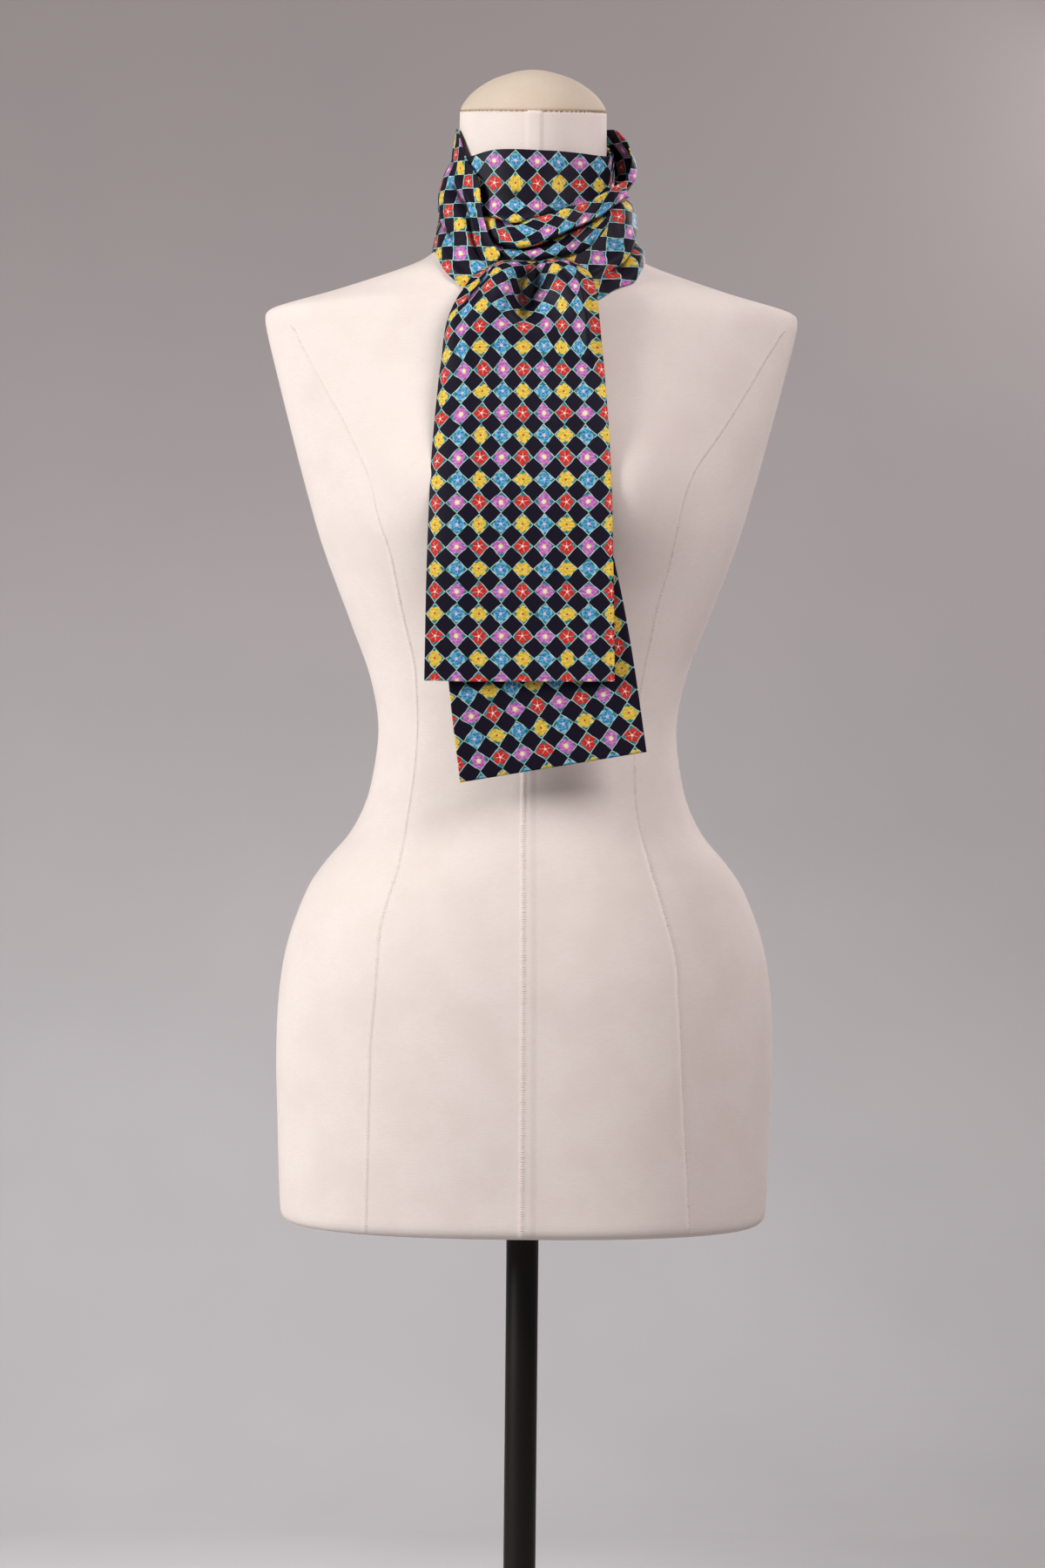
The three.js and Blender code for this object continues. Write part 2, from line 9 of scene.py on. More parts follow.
import bmesh
import bpy
import numpy as np
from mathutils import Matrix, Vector
from types import SimpleNamespace


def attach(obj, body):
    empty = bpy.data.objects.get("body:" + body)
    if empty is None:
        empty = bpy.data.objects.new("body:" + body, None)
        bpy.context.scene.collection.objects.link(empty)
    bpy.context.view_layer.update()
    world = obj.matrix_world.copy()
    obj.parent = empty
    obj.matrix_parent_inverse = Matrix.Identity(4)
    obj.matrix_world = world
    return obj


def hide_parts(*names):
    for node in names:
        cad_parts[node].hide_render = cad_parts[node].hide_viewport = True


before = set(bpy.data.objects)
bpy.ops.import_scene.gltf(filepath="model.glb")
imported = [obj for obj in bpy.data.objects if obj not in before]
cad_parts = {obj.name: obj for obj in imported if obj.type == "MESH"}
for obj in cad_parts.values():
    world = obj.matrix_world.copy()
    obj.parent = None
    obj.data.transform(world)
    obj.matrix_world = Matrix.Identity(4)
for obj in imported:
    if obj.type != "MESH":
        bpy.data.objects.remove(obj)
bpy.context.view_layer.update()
MM = 0.001

# %% [markdown]
# The camera stands 2.2 m in front of the form at the height of the waist and looks level along +Y.
# A point of the picture can then be turned into a place in space as soon as its depth is known, and a
# place back into its point of the picture. Seams and folds are laid out that way further down, because
# they can be read off a picture more surely than they can be guessed in space.

# %% Camera
PICTURE = (1200, 1800)
FOCAL_PIXELS = 3384.6
CAMERA_AT = Vector((-3.25, -2200.0, 964.0)) * MM
CAMERA_ROLL = math.radians(0.55)
SENSOR = 36.0

camera_data = bpy.data.cameras.new("studio_camera")
camera_data.sensor_width = SENSOR
camera_data.lens = FOCAL_PIXELS * SENSOR / PICTURE[1]
camera = bpy.data.objects.new("studio_camera", camera_data)
camera.location = CAMERA_AT
camera.rotation_euler = (math.radians(90), -CAMERA_ROLL, 0)
bpy.context.scene.collection.objects.link(camera)
bpy.context.scene.camera = camera


def seen(right, down, depth):
    """Places in millimetres that lie behind these pixels, at a depth in front of the form's middle."""
    dx = np.asarray(right, float) - PICTURE[0] / 2
    dy = np.asarray(down, float) - PICTURE[1] / 2
    across = math.cos(CAMERA_ROLL) * dx + math.sin(CAMERA_ROLL) * dy
    along = -math.sin(CAMERA_ROLL) * dx + math.cos(CAMERA_ROLL) * dy
    scale = (-CAMERA_AT.y / MM - np.asarray(depth, float)) / FOCAL_PIXELS
    return np.stack([CAMERA_AT.x / MM + across * scale, -np.asarray(depth, float) + 0 * scale,
                     CAMERA_AT.z / MM - along * scale], axis=-1)


def shown(places):
    """The pixels at which the picture shows places given in millimetres."""
    places = np.asarray(places, float)
    scale = (places[..., 1] - CAMERA_AT.y / MM) / FOCAL_PIXELS
    across = (places[..., 0] - CAMERA_AT.x / MM) / scale
    along = (CAMERA_AT.z / MM - places[..., 2]) / scale
    right = math.cos(CAMERA_ROLL) * across - math.sin(CAMERA_ROLL) * along
    down = math.sin(CAMERA_ROLL) * across + math.cos(CAMERA_ROLL) * along
    return right + PICTURE[0] / 2, down + PICTURE[1] / 2


bpy.context.scene.view_settings.view_transform = "Standard"
print("lens in mm:", round(camera_data.lens, 2))

# %% [markdown]
# Tables of sizes are read through smooth lines. Straight steps between the rows would show as edges on
# the form, and a free curve can swing past the sizes that it joins. This line keeps level where its
# table turns round, so it never overshoots what was measured.

# %% Smooth lines through tables
def slopes_of(xs, ys):
    """The slope at each knot: the mean of its two sides, and level where the table turns round."""
    steps = np.diff(ys) / np.diff(xs)
    slopes = np.zeros(len(xs))
    slopes[0], slopes[-1] = steps[0], steps[-1]
    for k in range(1, len(xs) - 1):
        if steps[k - 1] * steps[k] > 0:
            slopes[k] = (ys[k + 1] - ys[k - 1]) / (xs[k + 1] - xs[k - 1])
    return slopes


def line(rows, column):
    """A smooth function of a table's first column that gives another of its columns."""
    order = sorted(rows, key=lambda row: row[0])
    xs = np.array([row[0] for row in order], float)
    ys = np.array([row[column] for row in order], float)
    slopes = slopes_of(xs, ys)

    def read(at):
        x = np.clip(np.asarray(at, float), xs[0], xs[-1])
        k = np.clip(np.searchsorted(xs, x, side="right") - 1, 0, len(xs) - 2)
        step = xs[k + 1] - xs[k]
        t = (x - xs[k]) / step
        rise = t * t * (3 - 2 * t)
        early = t * (1 - t) ** 2 * step
        late = -t * t * (1 - t) * step
        return ys[k] * (1 - rise) + ys[k + 1] * rise + slopes[k] * early + slopes[k + 1] * late

    return read


def bell(distance):
    return np.exp(-np.asarray(distance, float) ** 2)


def smoothstep(value, low, high):
    t = np.clip((np.asarray(value, float) - low) / (high - low), 0, 1)
    return t * t * (3 - 2 * t)


def fade(at, start, end, share=0.25):
    """1 well inside a stretch and 0 at its ends."""
    place = (np.asarray(at, float) - start) / (end - start)
    return smoothstep(place, 0, share) * (1 - smoothstep(place, 1 - share, 1))


print("half way through a step:", smoothstep(0.5, 0, 1), "and one width from a bell:", round(bell(1), 3))

# %% [markdown]
# The form's skin is a rounded rectangle at every level, whose half width, depths and squareness come
# from one table. The bust is two soft mounds on it. The same numbers shaped the CAD body, so the fine
# skin made here lies on the coarse one.

# %% The form's skin
FORM_BOTTOM, NECK_SEAM, RIM_RADIUS = 640.0, 1372.0, 8.0
# height, half width, depth in front, depth behind, squareness
FORM = [
    (640, 180, 113, 115, 2.4), (671, 181.7, 114, 118, 2.4), (710, 183, 116, 121, 2.35),
    (760, 184.6, 117, 124, 2.3), (808, 183, 117, 123, 2.25), (847, 176.5, 114, 117, 2.2),
    (886, 161.9, 107, 106, 2.15), (906, 148.5, 102, 99, 2.1), (925, 132.3, 97, 92, 2.1),
    (944, 121.9, 93, 86, 2.1), (964, 115.7, 90, 81, 2.1), (1003, 110.8, 87, 76.5, 2.1),
    (1042, 117, 90, 79, 2.1), (1081, 131.3, 96, 85, 2.1), (1140, 153.7, 103, 94, 2.1),
    (1179, 165.4, 104, 98, 2.05), (1218, 176, 101, 100, 2), (1257, 186.2, 94, 99, 1.95),
    (1296, 196, 84, 93, 1.85), (1308, 198.4, 80.5, 89, 1.8), (1314, 197.2, 78, 86, 1.75),
    (1318, 190, 77, 84, 1.7), (1330, 149, 73, 79, 1.6), (1344, 106, 68, 73, 1.6),
    (1352, 85, 65, 69.5, 1.7), (1360, 73, 61.5, 66, 1.8), (1372, 64, 58.5, 61, 1.95),
    (1385, 58.5, 58.5, 58.5, 2), (1400, 56, 58, 54, 2), (1425, 55.2, 59.2, 51.2, 2),
    (1480, 54.6, 63, 46.2, 2),
]
BUST = {"apart": 74, "height": 1170, "rise": 27, "spread_x": 48, "spread_z": 54, "side_fade": 0.6}
form_half, form_front, form_back, form_power = (line(FORM, column) for column in range(1, 5))


def bust_rise(x, z):
    up = bell((z - BUST["height"]) / BUST["spread_z"])
    both = bell((x - BUST["apart"]) / BUST["spread_x"]) + bell((x + BUST["apart"]) / BUST["spread_x"])
    return BUST["rise"] * up * both


def rim_inset(z):
    rise = np.minimum(z - FORM_BOTTOM, RIM_RADIUS)
    return RIM_RADIUS - np.sqrt(np.maximum(RIM_RADIUS ** 2 - (RIM_RADIUS - rise) ** 2, 0))


def form_point(angle, z):
    """Points of the skin at angles from the right side round, and heights, in millimetres."""
    angle, z = np.broadcast_arrays(np.asarray(angle, float), np.asarray(z, float))
    inset = rim_inset(z)
    bend = 2 / form_power(z)
    c, s = np.cos(angle), np.sin(angle)
    x = (form_half(z) - inset) * np.sign(c) * np.abs(c) ** bend
    depth = np.where(s < 0, form_front(z), form_back(z)) - inset
    y = depth * np.sign(s) * np.abs(s) ** bend
    return np.stack([x, y - bust_rise(x, z) * smoothstep(-s, 0, BUST["side_fade"]), z], axis=-1)


print("waist width in mm:", round(float(2 * form_half(1003)), 1))

# %% [markdown]
# Every piece is made from arrays of points and faces. Whole rows of points are worked out at once, which
# is quicker than adding them one by one in the editor and keeps each piece's place in its mesh.

# %% Mesh helpers
def make_object(name, points, faces, material=None):
    mesh = bpy.data.meshes.new(name)
    mesh.from_pydata((np.asarray(points) * MM).tolist(), [], [tuple(int(i) for i in f) for f in faces])
    mesh.validate()
    mesh.shade_smooth()
    piece = bpy.data.objects.new(name, mesh)
    bpy.context.scene.collection.objects.link(piece)
    if material:
        mesh.materials.append(material)
    return piece


def grid_faces(rows, columns, closed=False):
    """Faces of a grid of points, row after row; closed joins the last column to the first."""
    a = np.arange(rows - 1)[:, None] * columns + np.arange(columns if closed else columns - 1)[None]
    right = np.arange(rows - 1)[:, None] * columns + (np.arange(a.shape[1])[None] + 1) % columns
    return np.stack([a, right, right + columns, a + columns], axis=-1).reshape(-1, 4)


def turned_out(piece):
    """The faces of a closed shell, turned to point away from its inside."""
    shell = bmesh.new()
    shell.from_mesh(piece.data)
    bmesh.ops.recalc_face_normals(shell, faces=shell.faces)
    shell.to_mesh(piece.data)
    shell.free()
    return piece


def tube_of(name, rings, material):
    """A closed skin through rings of points, with a flat face at each end."""
    count = rings.shape[1]
    last = (len(rings) - 1) * count
    faces = grid_faces(len(rings), count, closed=True).tolist()
    faces.append(list(range(count))[::-1])
    faces.append(list(range(last, last + count)))
    return turned_out(make_object(name, rings.reshape(-1, 3), faces, material))


def unit(vectors):
    """Vectors made one long."""
    return vectors / np.maximum(np.linalg.norm(vectors, axis=-1, keepdims=True), 1e-9)


print("faces on a grid of 3 by 4 points:", len(grid_faces(3, 4)))

# %% [markdown]
# Materials are written as sums. Their nodes could be wired one by one, but a mask or a pattern is easier
# to follow as a formula, so a small class wraps a socket and Python's own operators add the Math nodes.

# %% Shader sums
def connect(tree, item, socket):
    """A link from a sum or a socket, or a plain value, into a socket."""
    if isinstance(item, Sum):
        item = item.socket
    if isinstance(item, bpy.types.NodeSocket):
        tree.links.new(item, socket)
    else:
        socket.default_value = item


class Sum:
    """A number that changes over a surface. Arithmetic on it adds Math nodes to its tree."""

    def __init__(self, tree, socket):
        self.tree, self.socket = tree, socket

    def worked(self, operation, items):
        """A Math node on items, at least one of which is a sum."""
        node = self.tree.nodes.new("ShaderNodeMath")
        node.operation = operation
        for place, item in enumerate(items):
            connect(self.tree, item, node.inputs[place])
        return Sum(self.tree, node.outputs[0])

    def math(self, operation, *others): return self.worked(operation, (self, *others))
    def __add__(self, other): return self.math("ADD", other)
    def __radd__(self, other): return self.math("ADD", other)
    def __sub__(self, other): return self.math("SUBTRACT", other)
    def __rsub__(self, other): return self.worked("SUBTRACT", (other, self))
    def __mul__(self, other): return self.math("MULTIPLY", other)
    def __rmul__(self, other): return self.math("MULTIPLY", other)
    def __truediv__(self, other): return self.math("DIVIDE", other)
    def __rtruediv__(self, other): return self.worked("DIVIDE", (other, self))
    def __pow__(self, other): return self.math("POWER", other)
    def __abs__(self): return self.math("ABSOLUTE")

    def between(self, low, high):
        """0 at low, 1 at high and smooth in between."""
        node = self.tree.nodes.new("ShaderNodeMapRange")
        node.interpolation_type = "SMOOTHSTEP"
        for name, item in (("Value", self), ("From Min", low), ("From Max", high)):
            connect(self.tree, item, node.inputs[name])
        return Sum(self.tree, node.outputs["Result"])


print("a sum works with:", [name.strip("_") for name in vars(Sum) if name not in ("__init__", "__dict__")])

# %% Finishes and colours
class Finish:
    """A material's tree: node() adds any node, with its settings first and then its sockets."""

    def __init__(self, name):
        self.material = bpy.data.materials.new(name)
        self.material.use_nodes = True
        self.tree = self.material.node_tree
        self.surface = self.tree.nodes["Principled BSDF"]

    def node(self, kind, settings=None, sockets=None, out=0):
        node = self.tree.nodes.new(kind)
        for name, value in (settings or {}).items():
            setattr(node, name, value)
        for name, value in (sockets or {}).items():
            connect(self.tree, value, node.inputs[name])
        return Sum(self.tree, node.outputs[out])

    def vector(self, operation, first, second):
        return self.node("ShaderNodeVectorMath", {"operation": operation}, {0: first, 1: second})

    def axes(self, vector):
        """The three numbers of a vector."""
        node = self.tree.nodes.new("ShaderNodeSeparateXYZ")
        connect(self.tree, vector, node.inputs[0])
        return [Sum(self.tree, socket) for socket in node.outputs]

    def spot(self):
        """The place on a piece, in metres."""
        return self.node("ShaderNodeTexCoord", None, None, "Object")

    def mix(self, factor, first, second):
        """A colour between two, by a factor from 0 to 1."""
        node = self.tree.nodes.new("ShaderNodeMix")
        node.data_type = "RGBA"
        for place, item in ((0, factor), (6, first), (7, second)):
            connect(self.tree, item, node.inputs[place])
        return node.outputs[2]

    def noise(self, vector, scale, detail=2.0, roughness=0.5):
        return self.node("ShaderNodeTexNoise", None,
                         {"Vector": vector, "Scale": scale, "Detail": detail, "Roughness": roughness})

    def set(self, **sockets):
        for name, value in sockets.items():
            connect(self.tree, value, self.surface.inputs[name.replace("_", " ")])
        return self.material

    def bump(self, height, distance, strength):
        return self.node("ShaderNodeBump", None,
                         {"Height": height, "Distance": distance, "Strength": strength})


def rgb(red, green, blue):
    """A colour given in screen values from 0 to 255, as the linear colour that a shader wants."""
    linear = [c / 255 / 12.92 if c <= 10 else ((c / 255 + 0.055) / 1.055) ** 2.4 for c in (red, green, blue)]
    return (*linear, 1.0)


print("a middle grey is to a shader:", round(rgb(128, 128, 128)[0], 3))

# %% [markdown]
# The silk's print is a diamond check: on a square lattice of 15.75 mm a flower stands on every lattice
# point, in a diamond of teal ground with a thin pale outline, and a near-black violet diamond fills the
# room between four of them. The rows change between red and orchid flowers, and yellow and blue ones.
# It could be painted on an image, but a formula stays sharp at any size and can't be tied to one view.
# The cloth's own UV map, in repeats of the print, carries it round every fold.

# %% Sizes and inks of the print
PRINT_REPEAT = 15.75
PRINT_UV = "strip"
TWILL_LINES = 15.0
# each flower's shaded petal, bright petal, vein and heart
FLOWER_INKS = {
    "red": ((184, 22, 16), (222, 48, 30), (244, 220, 216), (250, 236, 226)),
    "orchid": ((170, 82, 164), (214, 132, 208), (236, 186, 226), (250, 238, 176)),
    "yellow": ((214, 176, 38), (242, 212, 84), (252, 238, 168), (200, 60, 30)),
    "blue": ((26, 112, 170), (78, 172, 214), (176, 222, 232), (236, 196, 214)),
}
TEAL, LIGHT_TEAL, TEAL_STROKE, GREEN_TEAL = (2, 98, 106), (26, 140, 144), (150, 214, 208), (8, 108, 104)
OUTLINE, OUTER_EDGE, TWILL_GLINT = (214, 238, 230), (14, 112, 118), (206, 216, 208)
# the dark diamonds in two tones, and the near black of the shade painted into deep creases
NIGHT, LIGHT_NIGHT, PAINTED_CREASE_SHADE = (13, 10, 24), (26, 21, 42), (9, 8, 16)
print("print repeat in mm:", PRINT_REPEAT, "with flowers:", list(FLOWER_INKS))

# %% [markdown]
# First the lattice. Every place on the cloth is told its row and column in the print and how far it is
# from the flower there. A slow noise moves the places a little, because a printed line is never quite
# straight, and each cell has a chance number of its own, so that no two flowers are the same.

# %% The lattice of the print
WANDER = 0.13
RAGGED = 0.09


def odd(number):
    """1 where a whole number is odd and 0 where it is even."""
    return ((number * 0.5).math("FRACT") * 2).between(0.4, 0.6)


def lattice(finish):
    uv = finish.node("ShaderNodeUVMap", {"uv_map": PRINT_UV})
    drift = finish.node("ShaderNodeTexNoise", None, {"Vector": uv, "Scale": 2.1, "Detail": 1.0}, 1)
    wander = finish.node("ShaderNodeVectorMath", {"operation": "SCALE"},
                         {0: finish.vector("SUBTRACT", drift, (0.5, 0.5, 0.5)), "Scale": WANDER})
    along, across = finish.axes(finish.vector("ADD", uv, wander))[:2]
    row, column = along.math("ROUND"), across.math("ROUND")
    right, up = along - row, across - column
    cell = finish.node("ShaderNodeCombineXYZ", None, {0: row, 1: column})
    fine = finish.noise(uv, 9.0, 3.0, 0.6)
    return SimpleNamespace(
        along=along, across=across, right=right, up=up, fine=fine,
        out=(right * right + up * up).math("SQRT"),
        diamond=abs(right) + abs(up),
        odd_row=odd(row), odd_column=odd(column),
        chance=finish.node("ShaderNodeTexWhiteNoise", {"noise_dimensions": "2D"}, {"Vector": cell}),
        ragged=(fine - 0.5) * RAGGED,
        drawn=finish.noise(uv, 2.3, 2.0),
        strokes=finish.noise(finish.vector("MULTIPLY", uv, (14.0, 5.0, 1.0)), 1.0, 2.0))


print("a print line wanders by mm at most:", round(WANDER / 2 * PRINT_REPEAT, 1))

# %% [markdown]
# A flower is a round of petals: a cosine of the angle makes as many waves as there are petals, and the
# distance from the middle is compared with that wavy edge. Veins lie where the wave is lowest. Stamps or
# outlines would do too, but this needs no picture and gives every flower a turn and a stretch of its own.

# %% Flowers
# petals, reach as a share of the repeat, depth of the notches between petals
FIVE_PETALS, SIX_PETALS = (5, 0.365, 0.50), (6, 0.362, 0.36)
FULL_TURN, STRETCH = 6.28, 0.34


def flower(place, turn, petals, reach, notch):
    """Masks of one flower: inside its petals, and near the lines between them."""
    right, up, out = place
    angle = right.math("ARCTAN2", up) + turn
    wave = abs((angle * (petals / 2)).math("COSINE"))
    edge = (wave ** 0.55) * notch + (1 - notch)
    inside = (out / (edge * reach)).between(1.05, 0.95)
    gaps = (wave * out).between(0.040, 0.014) * out.between(0.03, 0.08)
    return inside, gaps


def flowers(finish, at):
    """The print's colour inside its diamonds."""
    turn = at.chance * FULL_TURN
    stretch = ((at.chance * 7.3).math("FRACT") - 0.5) * STRETCH
    wide, tall = at.right * (1 + stretch), at.up * (1 - stretch)
    place = (wide, tall, (wide * wide + tall * tall).math("SQRT") + at.ragged)
    five_in, five_gap = flower(place, turn, *FIVE_PETALS)
    six_in, six_gap = flower(place, turn, *SIX_PETALS)
    inner = at.out.between(0.27, 0.16)
    petal_tone = at.strokes.between(0.40, 0.62)
    teal = finish.mix(at.fine.between(0.38, 0.66), rgb(*TEAL), rgb(*LIGHT_TEAL))
    teal = finish.mix(at.strokes.between(0.60, 0.72) * 0.6, teal, rgb(*TEAL_STROKE))
    green_teal = finish.mix(at.fine.between(0.4, 0.6), rgb(*GREEN_TEAL), teal)
    blue_rim = (at.out / 0.30).between(0.80, 1.0) * 0.75

    def bloom(name, veins, heart, inside, ground):
        shaded, bright, vein, middle = (rgb(*ink) for ink in FLOWER_INKS[name])
        colour = finish.mix(petal_tone, shaded, bright)
        colour = finish.mix(veins, colour, vein)
        colour = finish.mix(at.out.between(*heart), colour, middle)
        return finish.mix(inside, ground, colour)

    red = bloom("red", five_gap * inner * 0.85, (0.070, 0.040), five_in, teal)
    orchid = bloom("orchid", five_gap * inner * 0.6, (0.15, 0.05), six_in, teal)
    yellow = bloom("yellow", six_gap * inner * 0.35, (0.062, 0.040), six_in, green_teal)
    blue = bloom("blue", (five_gap * 0.8).math("MAXIMUM", blue_rim * 0.7), (0.085, 0.05), five_in, teal)
    return finish.mix(at.odd_row, finish.mix(at.odd_column, red, orchid),
                      finish.mix(at.odd_column, yellow, blue))


print("petals:", FIVE_PETALS[0], "and", SIX_PETALS[0])

# %% [markdown]
# Last come the dark diamonds, the outlines and the twill, whose fine slanting lines get a faint painted
# glint. Into a deep crease of silk hardly any light falls, more so than a renderer finds with a wall of
# some thickness, so shade is painted over the print by a number that each cloth keeps: how deep it lies
# in a hollow.

# %% Printed silk
HOLLOW = "hollow"
# where the pale outline lies in a diamond, the depths in millimetres over which the painted crease shade
# sets in, and its strength
OUTLINE_AT, PAINTED_SHADE_DEPTHS, PAINTED_SHADE_STRENGTH = 0.474, (0.1, 1.8), 0.85


def printed_silk(name):
    finish = Finish(name)
    at = lattice(finish)
    colour = flowers(finish, at)
    twill = ((at.along - at.across) * (TWILL_LINES * 2 * math.pi)).math("SINE")
    tone = twill * 0.5 + 0.5
    corners = abs(abs(at.right) - abs(at.up)).between(OUTLINE_AT, 0.440)
    dark = (at.diamond + at.ragged * 0.35).between(0.490, 0.510) * corners
    outline = abs(at.diamond - OUTLINE_AT + at.ragged * 0.4).between(0.030, 0.012)
    outline = outline * at.drawn.between(0.28, 0.52)
    colour = finish.mix(outline * 0.8, colour, rgb(*OUTLINE))
    colour = finish.mix(at.diamond.between(0.512, 0.530), colour, rgb(*OUTER_EDGE))
    # painted glint: the twill's slanting lines lighten the print a little and the dark diamonds more; the
    # fine noise there is random tone
    colour = finish.mix(tone * 0.05, colour, rgb(*TWILL_GLINT))
    night = finish.mix(tone * 0.5 + at.fine * 0.5, rgb(*NIGHT), rgb(*LIGHT_NIGHT))
    colour = finish.mix(dark, colour, night)
    # painted shade: the print turns near black where the cloth lies deep in a crease, as light hardly reaches
    # there
    hollow = finish.node("ShaderNodeAttribute", {"attribute_name": HOLLOW}, None, 2)
    colour = finish.mix(hollow.between(*PAINTED_SHADE_DEPTHS) * PAINTED_SHADE_STRENGTH, colour, rgb(*PAINTED_CREASE_SHADE))
    return finish.set(Base_Color=colour, Roughness=(at.fine - 0.5) * 0.16 + 0.52,
                      Normal=finish.bump(twill * 0.5 + at.fine * 0.35, 0.00007, 0.6),
                      Specular_IOR_Level=0.15)


silk = printed_silk("printed_silk")
print("nodes in the silk:", len(silk.node_tree.nodes))

# %% [markdown]
# The form is covered with cotton jersey: a matte warm white with a fine knit grain. It reads Object
# coordinates, because the knit is far finer than any stretch of the cover. The stand is steel under a
# satin black paint, a little uneven in its gloss.

# %% Jersey, cap cotton and black paint
# grain of the knit and of its cross threads, per metre in x, y and z
KNIT, WEFT = (1900.0, 1900.0, 700.0), (190.0, 190.0, 1300.0)


def jersey(name, light, shade):
    finish = Finish(name)
    spot = finish.spot()
    broad = finish.noise(spot, 26.0, 3.0)
    knit = finish.noise(finish.vector("MULTIPLY", spot, KNIT), 1.0, 2.0)
    weft = finish.noise(finish.vector("MULTIPLY", spot, WEFT), 1.0, 2.0)
    colour = finish.mix(broad.between(0.35, 0.65) * 0.35, light, shade)
    colour = finish.mix((knit * 0.5 + weft * 0.5).between(0.40, 0.62) * 0.30, colour, shade)
    bumped = finish.bump(knit * 0.5 + weft * 0.6, 0.00022, 0.6)
    return finish.set(Base_Color=colour, Roughness=(knit - 0.5) * 0.2 + 0.88, Normal=bumped,
                      Sheen_Weight=0.10, Sheen_Roughness=0.5, Specular_IOR_Level=0.25)


def stand_paint(name):
    finish = Finish(name)
    spot = finish.spot()
    broad = finish.noise(spot, 9.0, 4.0)
    grain = finish.noise(spot, 900.0, 2.0)
    colour = finish.mix(broad.between(0.35, 0.7), rgb(18, 13, 12), rgb(26, 19, 17))
    return finish.set(Base_Color=colour, Roughness=broad * 0.16 + 0.34, Metallic=0.1, Specular_IOR_Level=0.32,
                      Normal=finish.bump(grain, 0.00004, 0.5))


cover = jersey("form_cover", rgb(241, 231, 224), rgb(229, 215, 208))
cap_cover = jersey("form_cap", rgb(218, 203, 184), rgb(204, 187, 167))
stand = stand_paint("stand_metal")
print("finishes:", [m.name for m in bpy.data.materials])

# %% [markdown]
# The torso is one moulded body in a fitted cover of panels, so its skin is a single tube whose columns
# follow the cover's seams. A bump in the material could draw the seams, but they catch the side light as
# low ridges do. So beside every seam the columns stand close together, and there the skin is raised over
# the turned allowance and pinched at the stitching.

# %% Seams laid out in the picture
TORSO_ROWS = 150
SEAM_COLUMNS = (-7.0, -5.6, -4.6, -3.2, -1.6, -0.7, 0.0, 0.7, 1.6, 3.2, 4.6, 5.6, 7.0)
PLAIN_COLUMNS = 12
# the picture's column of each front seam by picture row
LEFT_PRINCESS = [(340, 322), (355, 324), (395, 346), (431, 364), (471, 388), (522, 413), (553, 426),
                 (594, 433), (631, 447), (702, 461), (763, 476), (830, 479), (881, 476), (932, 468),
                 (993, 458), (1060, 436), (1135, 430), (1200, 424), (1419, 419)]
RIGHT_PRINCESS = [(345, 918), (369, 909), (407, 882), (459, 852), (498, 827), (539, 797), (569, 786),
                  (596, 780), (648, 770), (692, 756), (718, 751), (789, 736), (866, 728), (937, 731),
                  (988, 744), (1044, 761), (1100, 777), (1421, 792)]


# angles that are tried at each level, and levels over which a seam is smoothed
SEAM_CANDIDATES, SEAM_SMOOTHING = 700, 9
SHOULDER_LOW, SHOULDER_TOP = 1296, 1325


def front_angle_at(picture_line, heights):
    """The skin angle of a front seam at heights, from its places in the picture."""
    downs, rights = np.array(sorted(picture_line), float).T
    candidates = np.linspace(-math.pi * 0.98, -math.pi * 0.02, SEAM_CANDIDATES)
    angles = []
    for height in heights:
        right, down = shown(form_point(candidates, height))
        angles.append(candidates[np.argmin(np.abs(right - np.interp(down, downs, rights)))])
    kernel = np.hanning(SEAM_SMOOTHING)
    kernel /= kernel.sum()
    return np.convolve(np.pad(angles, SEAM_SMOOTHING // 2, mode="edge"), kernel, mode="valid")


def torso_levels():
    rim = FORM_BOTTOM + np.array([0.0, 0.5, 1.5, 3.0, 5.0, RIM_RADIUS])
    body = np.linspace(FORM_BOTTOM + RIM_RADIUS, SHOULDER_LOW, TORSO_ROWS)[1:]
    shoulder = np.linspace(SHOULDER_LOW, SHOULDER_TOP, 24)[1:]
    return np.concatenate([rim, body, shoulder, np.linspace(SHOULDER_TOP, NECK_SEAM, 26)[1:]])


levels = torso_levels()
left_angle = front_angle_at(LEFT_PRINCESS, levels)
right_angle = front_angle_at(RIGHT_PRINCESS, levels)
print("levels of the torso:", len(levels))

# %% Relief of the seams
TAPE_WIDTH, TAPE_RISE, OVERLOCK_RISE = 9.5, 0.55, 0.4
OVERLOCK_AT = -TAPE_WIDTH / 2 + 0.8
CREST_RISE, PINCH = 0.34, 0.14


def ridge(distance):
    """A seam's relief in millimetres at a distance to its right: the allowance and its overlocked edge."""
    welt = TAPE_RISE * smoothstep(distance, -TAPE_WIDTH / 2 - 1.0, -TAPE_WIDTH / 2 + 0.6)
    welt = welt * (1 - smoothstep(distance, 0, TAPE_WIDTH / 2 + 1.6))
    return welt + OVERLOCK_RISE * bell((distance - OVERLOCK_AT) / 0.9)


def narrow_ridge(distance):
    """The relief of a seam whose allowances are pressed open: a low crest and a pinch beside it."""
    return CREST_RISE * bell(distance / 1.5) - PINCH * bell((distance - 2.2) / 1.2)


front_angle = np.full(len(levels), -math.pi / 2) + math.radians(0.6)
